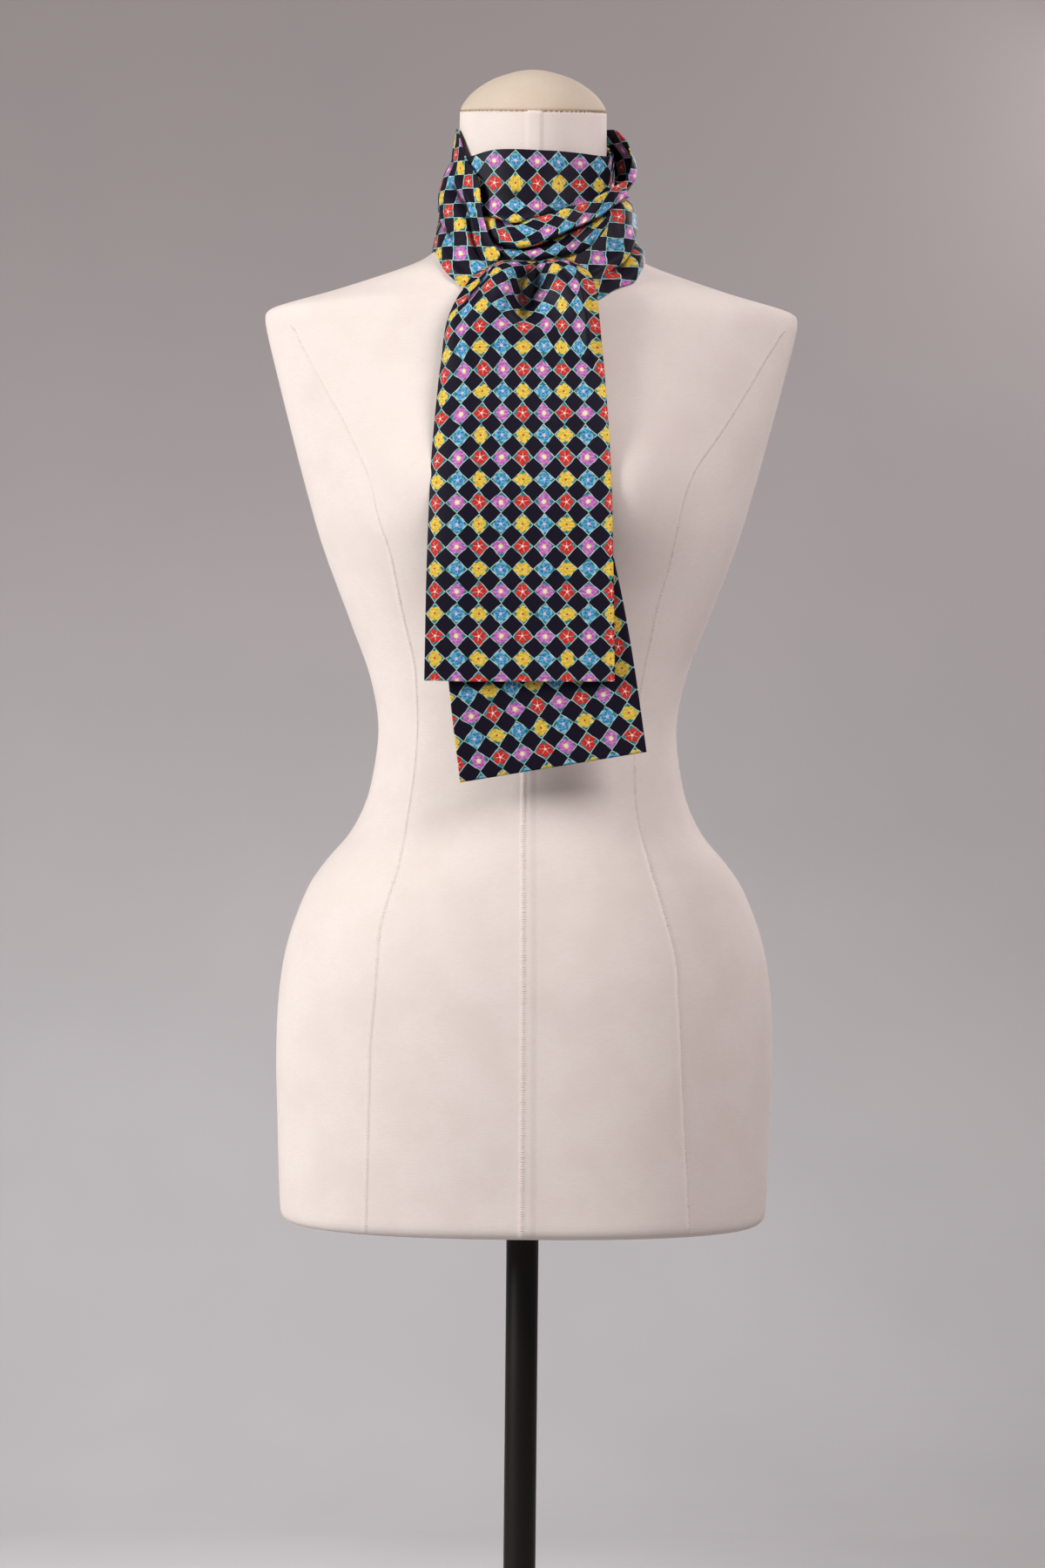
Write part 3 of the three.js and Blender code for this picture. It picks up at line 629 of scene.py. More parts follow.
# angle from the right side at each level, and relief
TORSO_SEAMS = {
    "left_side": (np.full(len(levels), -math.pi), narrow_ridge),
    "left_princess": (left_angle, narrow_ridge),
    "centre_front": (front_angle, ridge),
    "right_princess": (right_angle, narrow_ridge),
    "right_side": (np.zeros(len(levels)), narrow_ridge),
    "back_left": (-left_angle, narrow_ridge),
    "centre_back": (np.full(len(levels), math.pi / 2), ridge),
    "back_right": (-right_angle, narrow_ridge),
}
print("seams:", list(TORSO_SEAMS))

# %% Torso
SMALL_TURN, LEAST_RUN = 0.004, 25.0


def run_of_turn(at):
    """Millimetres along the skin for a turn of one radian, at an angle for each level."""
    run = np.linalg.norm(form_point(at + SMALL_TURN, levels) - form_point(at, levels), axis=1)
    return np.maximum(run / SMALL_TURN, LEAST_RUN)


def torso_columns():
    """Angles and reliefs of the columns at each level, seam by seam round the form."""
    seams = sorted(((np.mod(at, 2 * math.pi), relief) for at, relief in TORSO_SEAMS.values()),
                   key=lambda seam: seam[0].mean())
    angles, reliefs = [], []
    for place, (at, relief) in enumerate(seams):
        following = seams[(place + 1) % len(seams)][0] + (2 * math.pi if place == len(seams) - 1 else 0)
        run = run_of_turn(at)
        for offset in SEAM_COLUMNS:
            angles.append(at + offset / run)
            # seen from outside the angle grows to the right in front and to the left behind
            reliefs.append(np.full(len(levels), float(relief(offset))))
        start, end = at + SEAM_COLUMNS[-1] / run, following + SEAM_COLUMNS[0] / run
        for share in np.linspace(0, 1, PLAIN_COLUMNS + 2)[1:-1]:
            angles.append(start + (end - start) * share)
            reliefs.append(np.zeros(len(levels)))
    return np.array(angles), np.array(reliefs)


def raised(points, relief):
    """Rings of points moved outwards, square to the skin, by a relief."""
    around = np.roll(points, -1, axis=1) - np.roll(points, 1, axis=1)
    out = unit(np.cross(around, np.gradient(points, axis=0)))
    return points + out * relief[:, :, None]


# the relief starts above the rim and ends where the shoulder turns over
RIM_CLEAR, SHOULDER_FADE = 6, (1288, 1306)
angles, reliefs = torso_columns()
skin = form_point(np.sort(angles, axis=0).T, levels[:, None])
standing = smoothstep(levels, FORM_BOTTOM, FORM_BOTTOM + RIM_CLEAR) * (1 - smoothstep(levels, *SHOULDER_FADE))
skin = raised(skin, reliefs.T * standing[:, None])
skin[-1, :, 2] = NECK_SEAM
torso = tube_of("torso_cover", skin, cover)
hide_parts("form_torso")
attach(torso, "root")
print("torso points:", len(torso.data.vertices))

# %% [markdown]
# The neck is a short tube of the same jersey. Its upper edge slopes down to the front, where a padded
# cap of cotton closes it. The cap could be a squashed sphere, but its edge turns in sharply and its top
# is nearly flat, so it is a low dome made in one turned profile and then tilted.

# %% Neck and cap
CAP_SEAM_Z, CAP_SLOPE = 1464.2, math.tan(math.radians(12))
# height over the seam and radius
CAP = [(0, 54), (2.2, 53.6), (6.6, 51), (12, 46.4), (17.4, 39.6), (23, 29.8), (26.8, 19), (29.2, 9), (30, 0)]
NECK_ROUND, NECK_ROWS, CAP_ROWS = 256, 30, 40
PART_GAP = 0.3
# the raised strip down the front of the neck: its middle, its rise, and where its edge starts and ends
STRIP_MIDDLE, STRIP_RISE, STRIP_EDGE = 0.6, 0.8, (4.4, 5.8)
# the rings of the cap stop just short of the middle, and a small flat face closes it
CAP_REACH = 0.995
cap_middle = float(form_back(CAP_SEAM_Z) - form_front(CAP_SEAM_Z)) / 2


def neck_rings():
    rings = []
    for share in np.linspace(0, 1, NECK_ROWS):
        z = NECK_SEAM + PART_GAP + (CAP_SEAM_Z - NECK_SEAM - PART_GAP) * share
        ring = form_point(np.linspace(0, 2 * math.pi, NECK_ROUND, endpoint=False), z)
        ring[:, 2] = z + share * (ring[:, 1] - cap_middle) * CAP_SLOPE
        rings.append(ring)
    return np.array(rings)


rings = neck_rings()
strip_share = 1 - smoothstep(np.abs(rings[:, :, 0] - STRIP_MIDDLE), *STRIP_EDGE)
relief = np.where(rings[:, :, 1] < 0, STRIP_RISE * strip_share, 0)
neck = tube_of("neck_cover", raised(rings, relief), cover)
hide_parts("form_neck")


def cap_point(x, y, up):
    tilt = math.atan(CAP_SLOPE)
    up = up + PART_GAP
    return np.stack([x, y * math.cos(tilt) - up * math.sin(tilt) + cap_middle,
                     y * math.sin(tilt) + up * math.cos(tilt) + CAP_SEAM_Z], axis=-1)


def cap_rings():
    ups, radii = np.array(CAP, float).T
    run = np.concatenate([[0], np.cumsum(np.hypot(np.diff(ups), np.diff(radii)))])
    fine = np.linspace(0, run[-1] * CAP_REACH, CAP_ROWS)
    read_up = line(list(zip(run, ups)), 1)
    read_radius = line(list(zip(run, radii)), 1)
    turn = np.linspace(0, 2 * math.pi, NECK_ROUND, endpoint=False)
    return np.array([cap_point(r * np.cos(turn), r * np.sin(turn), np.full(NECK_ROUND, u))
                     for u, r in zip(read_up(fine), read_radius(fine))])


cap = tube_of("neck_cap_cover", cap_rings(), cap_cover)
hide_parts("form_neck_cap")
for piece, slot_name in ((neck, "form_cover"), (cap, "form_cap")):
    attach(piece, "root")
print("cap points:", len(cap.data.vertices))

# %% [markdown]
# Thread shows in two places: a row of gold-brown stitches holds the cap on the neck, and an overlocked
# edge with fine ticks runs down each seam of the cover. Thousands of them by hand would be slow, and a
# bump would leave them flat. So Geometry Nodes set them: a path carries the direction of its stitches as
# an attribute, is sampled at the wanted spacing, and gets a small bar on every sample. The bars are made
# real at once, because the export drops instances.

# %% The tree of the stitches
def stitch_tree():
    tree = bpy.data.node_groups.new("stitch_rows", "GeometryNodeTree")
    tree.interface.new_socket("Geometry", in_out="INPUT", socket_type="NodeSocketGeometry")
    for name in ("Spacing", "Length", "Thickness", "Unevenness"):
        tree.interface.new_socket(name, in_out="INPUT", socket_type="NodeSocketFloat")
    tree.interface.new_socket("Seed", in_out="INPUT", socket_type="NodeSocketInt")
    tree.interface.new_socket("Thread", in_out="INPUT", socket_type="NodeSocketMaterial")
    tree.interface.new_socket("Geometry", in_out="OUTPUT", socket_type="NodeSocketGeometry")

    def add(kind, **settings):
        node = tree.nodes.new(kind)
        for name, value in settings.items():
            setattr(node, name, value)
        return node

    given = add("NodeGroupInput")
    path = add("GeometryNodeMeshToCurve")
    samples = add("GeometryNodeResampleCurve", mode="LENGTH")
    along = add("GeometryNodeInputNamedAttribute", data_type="FLOAT_VECTOR")
    along.inputs["Name"].default_value = "along"
    turn = add("FunctionNodeAlignRotationToVector", axis="X")
    size = add("ShaderNodeCombineXYZ")
    bar = add("GeometryNodeMeshCube")
    chance = add("FunctionNodeRandomValue", data_type="FLOAT")
    least = add("ShaderNodeMath", operation="SUBTRACT")
    least.inputs[0].default_value = 1.0
    place = add("GeometryNodeInstanceOnPoints")
    real = add("GeometryNodeRealizeInstances")
    paint = add("GeometryNodeSetMaterial")
    given_out = add("NodeGroupOutput")
    for source, target in (
            (given.outputs["Geometry"], path.inputs[0]), (path.outputs[0], samples.inputs["Curve"]),
            (given.outputs["Spacing"], samples.inputs["Length"]),
            (samples.outputs[0], place.inputs["Points"]),
            (given.outputs["Length"], size.inputs[0]), (given.outputs["Thickness"], size.inputs[1]),
            (given.outputs["Thickness"], size.inputs[2]), (size.outputs[0], bar.inputs["Size"]),
            (bar.outputs[0], place.inputs["Instance"]), (along.outputs[0], turn.inputs["Vector"]),
            (turn.outputs[0], place.inputs["Rotation"]), (given.outputs["Unevenness"], least.inputs[1]),
            (least.outputs[0], chance.inputs[2]), (given.outputs["Seed"], chance.inputs["Seed"]),
            (chance.outputs[1], place.inputs["Scale"]), (place.outputs[0], real.inputs[0]),
            (real.outputs[0], paint.inputs["Geometry"]), (given.outputs["Thread"], paint.inputs["Material"]),
            (paint.outputs[0], given_out.inputs[0])):
        tree.links.new(source, target)
    return tree


STITCH_TREE = stitch_tree()
print("nodes in the stitches' tree:", len(STITCH_TREE.nodes))

# %% Rows of stitches and their thread
def stitches(name, paths, values, thread):
    """Rows of stitches on paths; each path is its points and its stitches' directions, in millimetres."""
    points = np.concatenate([p for p, _ in paths])
    edges, start = [], 0
    for p, _ in paths:
        edges += [(k, k + 1) for k in range(start, start + len(p) - 1)]
        start += len(p)
    mesh = bpy.data.meshes.new(name + "_path")
    mesh.from_pydata((points * MM).tolist(), edges, [])
    along = mesh.attributes.new("along", "FLOAT_VECTOR", "POINT")
    along.data.foreach_set("vector", np.concatenate([d for _, d in paths]).astype(np.float32).ravel())
    rows = bpy.data.objects.new(name + "_path", mesh)
    bpy.context.scene.collection.objects.link(rows)
    modifier = rows.modifiers.new("stitches", "NODES")
    modifier.node_group = STITCH_TREE
    given = {**values, "Thread": thread}
    for item in STITCH_TREE.interface.items_tree:
        if item.in_out == "INPUT" and item.name in given:
            modifier[item.identifier] = given[item.name]
    made = bpy.data.meshes.new_from_object(rows.evaluated_get(bpy.context.evaluated_depsgraph_get()))
    bpy.data.objects.remove(rows)
    piece = bpy.data.objects.new(name, made)
    bpy.context.scene.collection.objects.link(piece)
    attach(piece, "root")
    print(name, "has bars:", len(made.vertices) // 8)


def thread_finish(name, light, shade):
    finish = Finish(name)
    ply = finish.noise(finish.spot(), 1400.0, 2.0)
    return finish.set(Base_Color=finish.mix(ply.between(0.35, 0.65), light, shade), Roughness=ply * 0.2 + 0.6,
                      Normal=finish.bump(ply, 0.0001, 0.5))


gold_thread = thread_finish("cap_thread", rgb(206, 172, 116), rgb(150, 112, 62))
pale_thread = thread_finish("cover_thread", rgb(240, 228, 221), rgb(222, 205, 199))
print("threads:", gold_thread.name, "and", pale_thread.name)

# %% Stitches of the cap
# how far the row stands out of the neck, and below its edge
CAP_ROW_OUT, CAP_ROW_DOWN = 0.25, 0.2
cap_edge = np.concatenate([rings[-1], rings[-1][:1]])
cap_way = np.gradient(cap_edge, axis=0)
cap_out = unit(np.cross(cap_way, [0, 0, 1.0]))
stitches("cap_stitches", [(cap_edge + cap_out * CAP_ROW_OUT + [0, 0, -CAP_ROW_DOWN], cap_way)],
         {"Spacing": 0.0042, "Length": 0.0031, "Thickness": 0.0008, "Unevenness": 0.25, "Seed": 3},
         gold_thread)

# %% Ticks of the cover's seams
TICKS_END, TICK_SINK = 1300, 0.05
ticks = []
for at, relief in TORSO_SEAMS.values():
    shift = OVERLOCK_AT if relief is ridge else 0.0
    angle = at + shift / run_of_turn(at)
    on_skin = form_point(angle, levels)
    across = form_point(angle + SMALL_TURN, levels) - on_skin
    out = unit(np.cross(across, np.gradient(on_skin, axis=0)))
    shows = (levels > FORM_BOTTOM + RIM_CLEAR) & (levels < TICKS_END)
    ticks.append(((on_skin + out * (float(relief(shift)) - TICK_SINK))[shows], across[shows]))
stitches("cover_overlock", ticks,
         {"Spacing": 0.0017, "Length": 0.0024, "Thickness": 0.0006, "Unevenness": 0.4, "Seed": 5},
         pale_thread)

# %% [markdown]
# The pole and the base plate are turned steel under satin black paint. A cylinder with a Bevel would do
# for the pole, but the plate's socket has a bore and a fillet, so each part is one profile with softened
# corners, spun about the vertical.

# %% Pole and base plate
PLATE = {"radius": 206.0, "thickness": 6.0, "edge": 1.5}
SOCKET = {"radius": 19.0, "top": 32.0, "fillet": 3.0, "floor": 3.0}
POLE_RADIUS = 12.0


def softened(profile, radius=0.8, steps=4):
    """A profile whose corners are rounded, but for its two ends."""
    profile = [np.array(p, float) for p in profile]
    made = [profile[0]]
    for before, corner, after in zip(profile, profile[1:], profile[2:]):
        to_before, to_after = before - corner, after - corner
        reach = min(radius, 0.45 * np.linalg.norm(to_before), 0.45 * np.linalg.norm(to_after))
        start = corner + to_before / np.linalg.norm(to_before) * reach
        end = corner + to_after / np.linalg.norm(to_after) * reach
        for t in np.linspace(0, 1, steps):
            made.append((1 - t) ** 2 * start + 2 * t * (1 - t) * corner + t * t * end)
    made.append(profile[-1])
    return np.array(made)


def turned(name, profile, material, round_count):
    turn = np.linspace(0, 2 * math.pi, round_count, endpoint=False)
    rings = np.stack([np.outer(profile[1:-1, 0], np.cos(turn)), np.outer(profile[1:-1, 0], np.sin(turn)),
                      np.repeat(profile[1:-1, 1][:, None], round_count, axis=1)], axis=-1)
    points = np.concatenate([rings.reshape(-1, 3), [[0, 0, profile[0, 1]], [0, 0, profile[-1, 1]]]])
    faces = grid_faces(len(rings), round_count, closed=True).tolist()
    low, high = len(points) - 2, len(points) - 1
    last = (len(rings) - 1) * round_count
    for here in range(round_count):
        beside = (here + 1) % round_count
        faces.append((low, beside, here))
        faces.append((high, last + here, last + beside))
    return turned_out(make_object(name, points, faces, material))


radius, thickness, edge = PLATE["radius"], PLATE["thickness"], PLATE["edge"]
bore = POLE_RADIUS + PART_GAP
plate = turned("base_plate", softened([
    (0, 0), (radius - edge, 0), (radius, edge), (radius, thickness - edge), (radius - edge, thickness),
    (SOCKET["radius"] + SOCKET["fillet"], thickness), (SOCKET["radius"], thickness + SOCKET["fillet"]),
    (SOCKET["radius"], SOCKET["top"] - edge), (SOCKET["radius"] - edge, SOCKET["top"]),
    (bore, SOCKET["top"]), (bore, SOCKET["floor"]), (0, SOCKET["floor"])]), stand, 128)
pole_low, pole_high = SOCKET["floor"] + PART_GAP, FORM_BOTTOM - PART_GAP
pole = turned("stand_pole", softened([
    (0, pole_low), (POLE_RADIUS, pole_low), (POLE_RADIUS, pole_high), (0, pole_high)], 0.5), stand, 96)
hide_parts("form_base_plate")
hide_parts("form_pole")
for piece in (plate, pole):
    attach(piece, "root")
print("plate width in m:", round(plate.dimensions.x, 3))

# %% [markdown]
# The cravat is one doubled strip of soft silk, 134 mm wide. A cloth simulation would give folds of its
# own, and not those of this tying, so the folds are laid out one by one. Each stretch that shows is its own
# thin shell: a grid of points, with the strip's own coordinates as a UV map, which a Solidify modifier
# gives a wall of cloth. The shell also keeps how deep each of its places lies in a crease.

# %% Cloth shells
STRIP_WIDTH, CLOTH_WALL, FORM_CLEARANCE = 134.0, 1.0, 0.9
NECK_AXIS = {"foot": 1350.0, "y": 2.0, "lean": -10 / 118}
CREASE_REACH = 15.0


def evened(values, half_width, axis):
    """A grid smoothed by a bell of some columns or rows, with its ends carried on straight."""
    kernel = np.hanning(2 * half_width + 3)[1:-1]
    kernel /= kernel.sum()
    values = np.moveaxis(values, axis, 0)
    before = 2 * values[:1] - values[half_width:0:-1]
    after = 2 * values[-1:] - values[-2:-half_width - 2:-1]
    padded = np.concatenate([before, values, after])
    made = sum(weight * padded[k:k + len(values)] for k, weight in enumerate(kernel))
    return np.moveaxis(made, 0, axis)


def hollow_depth(points):
    """How deep each place lies in a crease, in millimetres under the mean of what is round it."""
    mean = points
    for axis in (0, 1):
        spacing = np.linalg.norm(np.diff(points, axis=axis), axis=-1).mean()
        half_width = int(np.clip(CREASE_REACH / spacing, 2, points.shape[axis] // 3))
        mean = evened(mean, half_width, axis)
    out = unit(np.cross(np.gradient(points, axis=0), np.gradient(points, axis=1)))
    from_neck = (points - [0, NECK_AXIS["y"], 0]) * [1, 1, 0]
    out *= np.sign((from_neck * out).sum(axis=-1).mean())
    return ((mean - points) * out).sum(axis=-1)


def cloth(name, points, strip, node, flat_length):
    """A shell of silk from a grid of points (along, across) and its strip places in millimetres."""
    rows, columns = points.shape[:2]
    piece = make_object(name, points.reshape(-1, 3), grid_faces(rows, columns), silk)
    # the depth in a crease, by which the silk's material paints shade there
    depth = piece.data.attributes.new(HOLLOW, "FLOAT", "POINT")
    depth.data.foreach_set("value", hollow_depth(points).astype(np.float32).ravel())
    layer = piece.data.uv_layers.new(name=PRINT_UV)
    corner = np.zeros(len(piece.data.loops), np.int64)
    piece.data.loops.foreach_get("vertex_index", corner)
    uv = np.stack([strip[..., 0], strip[..., 1] - PRINT_REPEAT / 2], axis=-1).reshape(-1, 2) / PRINT_REPEAT
    layer.data.foreach_set("uv", uv[corner].astype(np.float32).ravel())
    middle = points[rows // 2, columns // 2]
    axis = np.array([0, NECK_AXIS["y"], middle[2]])
    face = piece.data.polygons[(rows // 2) * (columns - 1) + columns // 2]
    if np.dot(np.array(face.normal), middle - axis) < 0:
        piece.data.flip_normals()
    wall = piece.modifiers.new("wall", "SOLIDIFY")
    wall.thickness = CLOTH_WALL * MM
    wall.offset = -1
    wall.use_even_offset = False
    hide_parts(node)
    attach(piece, "root")
    print(name, "is flat, in mm:", STRIP_WIDTH, "by", round(flat_length))


print("cloth wall in mm:", CLOTH_WALL)

# %% [markdown]
# Places on the wound cloth are easiest to give as a turn round the neck, a height and a distance from the
# neck's axis, which leans forward a little. Cloth must not cut the form, so any point that comes too near
# is moved out to the skin and a gap.

# %% Places round the neck
def neck_axis(z):
    return NECK_AXIS["y"] + NECK_AXIS["lean"] * (np.asarray(z, float) - NECK_AXIS["foot"])


def turned_to(turn, z, out):
    """Places at turns round the neck in degrees, heights and distances from its axis."""
    angle = np.radians(np.asarray(turn, float))
    return np.stack(np.broadcast_arrays(out * np.sin(angle), neck_axis(z) - out * np.cos(angle),
                                        np.asarray(z, float)), axis=-1)


def keep_off_form(points, gap):
    """Cloth stays outside the form: points are moved out, level, to its skin and a gap."""
    z = points[..., 2]

    def grown(size):
        return size(z) + gap * np.hypot(1, (size(z + 1) - size(z - 1)) / 2)

    power = form_power(z)
    depth = np.where(points[..., 1] < 0, grown(form_front), grown(form_back))
    share = (np.abs(points[..., 0]) / grown(form_half)) ** power + (np.abs(points[..., 1]) / depth) ** power
    out = np.where(share < 1, np.maximum(share, 1e-6) ** (-1 / power), 1)
    moved = points.copy()
    moved[..., :2] *= out[..., None]
    return moved


print("the neck leans forward by degrees:", round(math.degrees(math.atan(-NECK_AXIS["lean"])), 1))

# %% [markdown]
# A cloth with folds given one by one starts as a coarse net of places. A smooth curve is run through every
# row of the net and then through every column, which gives the fine grid of the shell. A Subdivision
# Surface would be quicker, but it pulls away from the places that were read off the picture.

# %% Nets
def through(knots, values, at):
    """Values on a smooth curve through knots; the first axis of values goes along them."""
    knots, values = np.asarray(knots, float), np.asarray(values, float)
    shape = (-1, *[1] * (values.ndim - 1))
    steps = np.diff(knots)
    rates = np.diff(values, axis=0) / steps.reshape(shape)
    tangents = np.empty_like(values)
    tangents[0], tangents[-1] = rates[0], rates[-1]
    before, after = steps[:-1].reshape(shape), steps[1:].reshape(shape)
    tangents[1:-1] = (rates[:-1] * after + rates[1:] * before) / (before + after)
    k = np.clip(np.searchsorted(knots, at, side="right") - 1, 0, len(knots) - 2)
    t, step = ((at - knots[k]) / steps[k]).reshape(shape), steps[k].reshape(shape)
    return (values[k] * (1 + 2 * t) * (1 - t) ** 2 + values[k + 1] * t * t * (3 - 2 * t)
            + tangents[k] * t * (1 - t) ** 2 * step - tangents[k + 1] * t * t * (1 - t) * step)


def net(values, along, across, counts):
    """A fine grid through a net of values, given the net's places along and across."""
    fine_along = np.linspace(along[0], along[-1], counts[0])
    fine_across = np.linspace(across[0], across[-1], counts[1])
    rows = through(along, values, fine_along)
    return np.swapaxes(through(across, np.swapaxes(rows, 0, 1), fine_across), 0, 1)


print("a curve through 0, 1 and 4 gives half way:", through([0, 1, 2], [0, 1, 4], np.array([0.5, 1.5])))

# %% [markdown]
# The front panel carries the most folds: it lies flat above, and then the spare width falls in swags that
# are drawn up to the right. It is lofted through lines that run along the strip, such as the upper edge,
# each crease and each crest. A line says how low it is in the picture, how far it stands out from the
# neck's axis, and which part of the print lies there, so that the check follows every swag.

# %% Lines laid out in the picture
# a first guess of where a line lies: its reach to the side in pixels, and its height in millimetres
GUESSED_REACH, GUESSED_HEIGHT = 95, 1380.0
ROUNDS = 40


def picture_table(rights, values):
    """A smooth reading of values given at picture columns, carried on level past its ends."""
    return line(list(zip(rights, values)), 1)


def laid_line(turns, rights, down, out):
    """Places at turns round the neck of a line that the picture gives: its row and its distance out.

    The distance out is given by where a place shows, and where it shows depends on its distance, so the
    two are brought together in rounds."""
    read_down, read_out = picture_table(rights, down), picture_table(rights, out)
    right = PICTURE[0] / 2 + GUESSED_REACH * np.sin(np.radians(turns))
    z = np.full(len(turns), GUESSED_HEIGHT)
    for _ in range(ROUNDS):
        places = turned_to(turns, z, read_out(right))
        right = shown(places)[0]
        z = seen(right, read_down(right), -places[:, 1])[:, 2]
    return turned_to(turns, z, read_out(right)), right


print("the throat shows at:", [round(float(pixel)) for pixel in shown(turned_to(0, GUESSED_HEIGHT, 60))])

# %% Lines of the front panel
PANEL_RIGHTS = [522, 534, 548, 566, 590, 615, 640, 664, 686, 702, 716]
FLAT_ROW = [-4.6, -3.8, -2.9, -2.07, -1.08, -0.08, 0.94, 1.92, 2.9, 3.75, 4.5]
LOW_ROW = [-4.0, -3.4, -3.0, -2.05, -0.95, 0.12, 1.08, 2.3, 3.2, 3.9, 4.6]
# row in the picture, distance out, print column, print row, at each of the picture's columns above
PANEL_LINES = [
    ([188, 182, 177, 172, 171, 172, 173.2, 175.5, 178.5, 180, 182], [59.8] * 11, [0.5] * 11, FLAT_ROW),
    ([201, 196, 190, 184, 184, 184.5, 186.5, 188, 190, 191, 193], [60.2] * 11, [1] * 11, FLAT_ROW),
    ([218, 214, 210, 210, 210, 210, 211, 212, 213, 214, 214], [61] * 11, [2] * 11, FLAT_ROW),
    ([234, 232, 234, 235, 235, 236, 236, 235, 231, 225, 219],
     [60, 60, 60.4, 62.4, 63.4, 63, 62.4, 61.8, 61.5, 62, 63], [3] * 11, FLAT_ROW),
    ([240, 238, 243, 248, 254.5, 247, 242, 236, 228, 218, 210],
     [60, 60, 61, 66.5, 70.5, 64.5, 61.8, 61, 61, 62, 64],
     [3.4, 3.4, 3.45, 3.6, 4.15, 3.6, 3.35, 3.1, 3.0, 3.0, 3.0], FLAT_ROW),
    ([242, 241, 245, 249.5, 256, 249, 248, 243, 235, 225, 216],
     [59.6, 60, 60.4, 61, 62.5, 64.5, 60.4, 60, 60.2, 61.4, 63.4],
     [4.6, 4.6, 4.6, 4.65, 4.5, 3.75, 3.5, 3.35, 3.3, 3.4, 3.5], FLAT_ROW),
    ([241, 241, 245, 250, 256.5, 251, 242, 234.5, 226, 216, 208],
     [60, 60, 60.4, 64, 64.5, 69, 72.5, 73.5, 73.5, 73.5, 74],
     [5.7, 5.7, 5.75, 5.7, 4.7, 3.95, 3.65, 3.65, 3.75, 3.75, 3.7],
     [-4.6, -4.2, -3.8, -2.9, -1.35, -0.4, 0.68, 1.85, 2.85, 3.7, 4.3]),
    ([247, 247, 250, 253.5, 260, 258, 251.5, 243.5, 234, 223.5, 214.5],
     [60, 60.4, 61.4, 68, 69.5, 74, 76, 76.4, 76, 75.4, 75],
     [6.0, 6.0, 6.0, 5.95, 5.0, 4.5, 4.35, 4.25, 4.32, 4.3, 4.2],
     [-4.5, -4.1, -3.7, -2.8, -1.5, -0.5, 0.58, 1.75, 2.72, 3.55, 4.2]),
    ([255, 255, 256, 260, 267, 267, 261.5, 253.5, 243, 232, 221],
     [60, 60.6, 62.4, 70, 73.5, 76, 77.4, 77.8, 77, 75.6, 75],
     [6.3, 6.3, 6.2, 6.1, 5.45, 5.1, 5.0, 4.93, 4.95, 4.9, 4.8],
     [-4.4, -4.0, -3.6, -2.7, -1.6, -0.6, 0.5, 1.66, 2.6, 3.4, 4.1]),
    ([266, 267, 269, 275, 284, 281.5, 270.5, 260, 250, 239, 229],
     [60, 60.4, 62.4, 69.4, 75.4, 77.6, 78.4, 78.4, 77.6, 76, 75],
     [6.6, 6.6, 6.6, 6.6, 6.4, 5.95, 5.5, 5.32, 5.35, 5.35, 5.25],
     [-4.2, -3.6, -3.2, -2.3, -1.35, -0.35, 0.8, 1.8, 2.8, 3.5, 4.2]),
    ([268, 269, 271, 277, 286, 283.5, 272.5, 262, 252, 241, 231],
     [60, 61, 63, 66.5, 68, 68.5, 68.5, 68, 68, 68, 69],
     [6.8, 6.8, 6.8, 6.75, 6.68, 6.35, 6.0, 5.8, 5.8, 5.75, 5.65],
     [-4.1, -3.5, -3.1, -2.2, -1.2, -0.15, 0.9, 1.9, 2.9, 3.6, 4.3]),
    ([270, 271, 274, 280, 287.5, 286, 276, 265.5, 255.5, 245, 234],
     [60, 60.4, 61.6, 68, 72.5, 73.5, 73, 72, 71, 70, 70],
     [6.9, 6.9, 6.9, 6.9, 6.88, 6.75, 6.35, 6.05, 6.05, 6.0, 5.95],
     [-4.1, -3.5, -3.1, -2.15, -1.05, 0.0, 0.95, 2.0, 3.0, 3.7, 4.4]),
    ([276, 278, 281, 286, 290.5, 291.5, 286, 280, 268, 255, 243],
     [60, 60.6, 63, 72, 77.5, 80, 80, 78, 74, 72, 71],
     [7.1, 7.1, 7.1, 7.1, 7.08, 7.12, 7.08, 6.98, 7, 7, 7], LOW_ROW),
    ([284, 288, 291, 295.5, 298, 298.5, 295, 290, 279, 264, 250],
     [60, 61.5, 64.5, 70, 75.5, 78.5, 78.5, 76, 71.5, 69, 69], [7.6] * 11, LOW_ROW),
    ([286, 290, 293, 297, 299, 299.5, 296.5, 292.5, 280.5, 265.5, 251],
     [59.5, 60, 61, 65, 69, 71, 71, 69, 66, 65, 66], [8.1] * 11, LOW_ROW),
    ([289, 292, 295, 298, 300, 300.5, 298, 294, 282, 268, 254],
     [59.5, 59.5, 59.8, 61, 63, 64, 64, 63, 62, 62, 62], [8.55] * 11, LOW_ROW),
]
PANEL_TURNS = np.array([-50, -42, -34, -26, -18, -10, -2, 6, 14, 22, 30, 38, 46, 54, 61, 67], float)
# turn, upper edge, lower edge and distances out of the panel's hidden ends
PANEL_ENDS = [(-102.7, 1436, 1393, 59.6, 60.4), (-78, 1429.5, 1381, 59.6, 61), (84, 1434, 1385, 59.8, 64)]
PANEL_ACROSS = np.array([0.5, 1, 2, 3, 3.4, 3.75, 4.15, 4.6, 5.2, 6.1, 6.4, 6.7, 7.1, 7.6, 8.1, 8.55])
print("lines laid across the panel:", len(PANEL_LINES))

# %% Front panel
# how far the hidden ends lie from the neck's axis, and the points along and across the panel
HIDDEN_REACH, PANEL_GRID = 62, (260, 190)


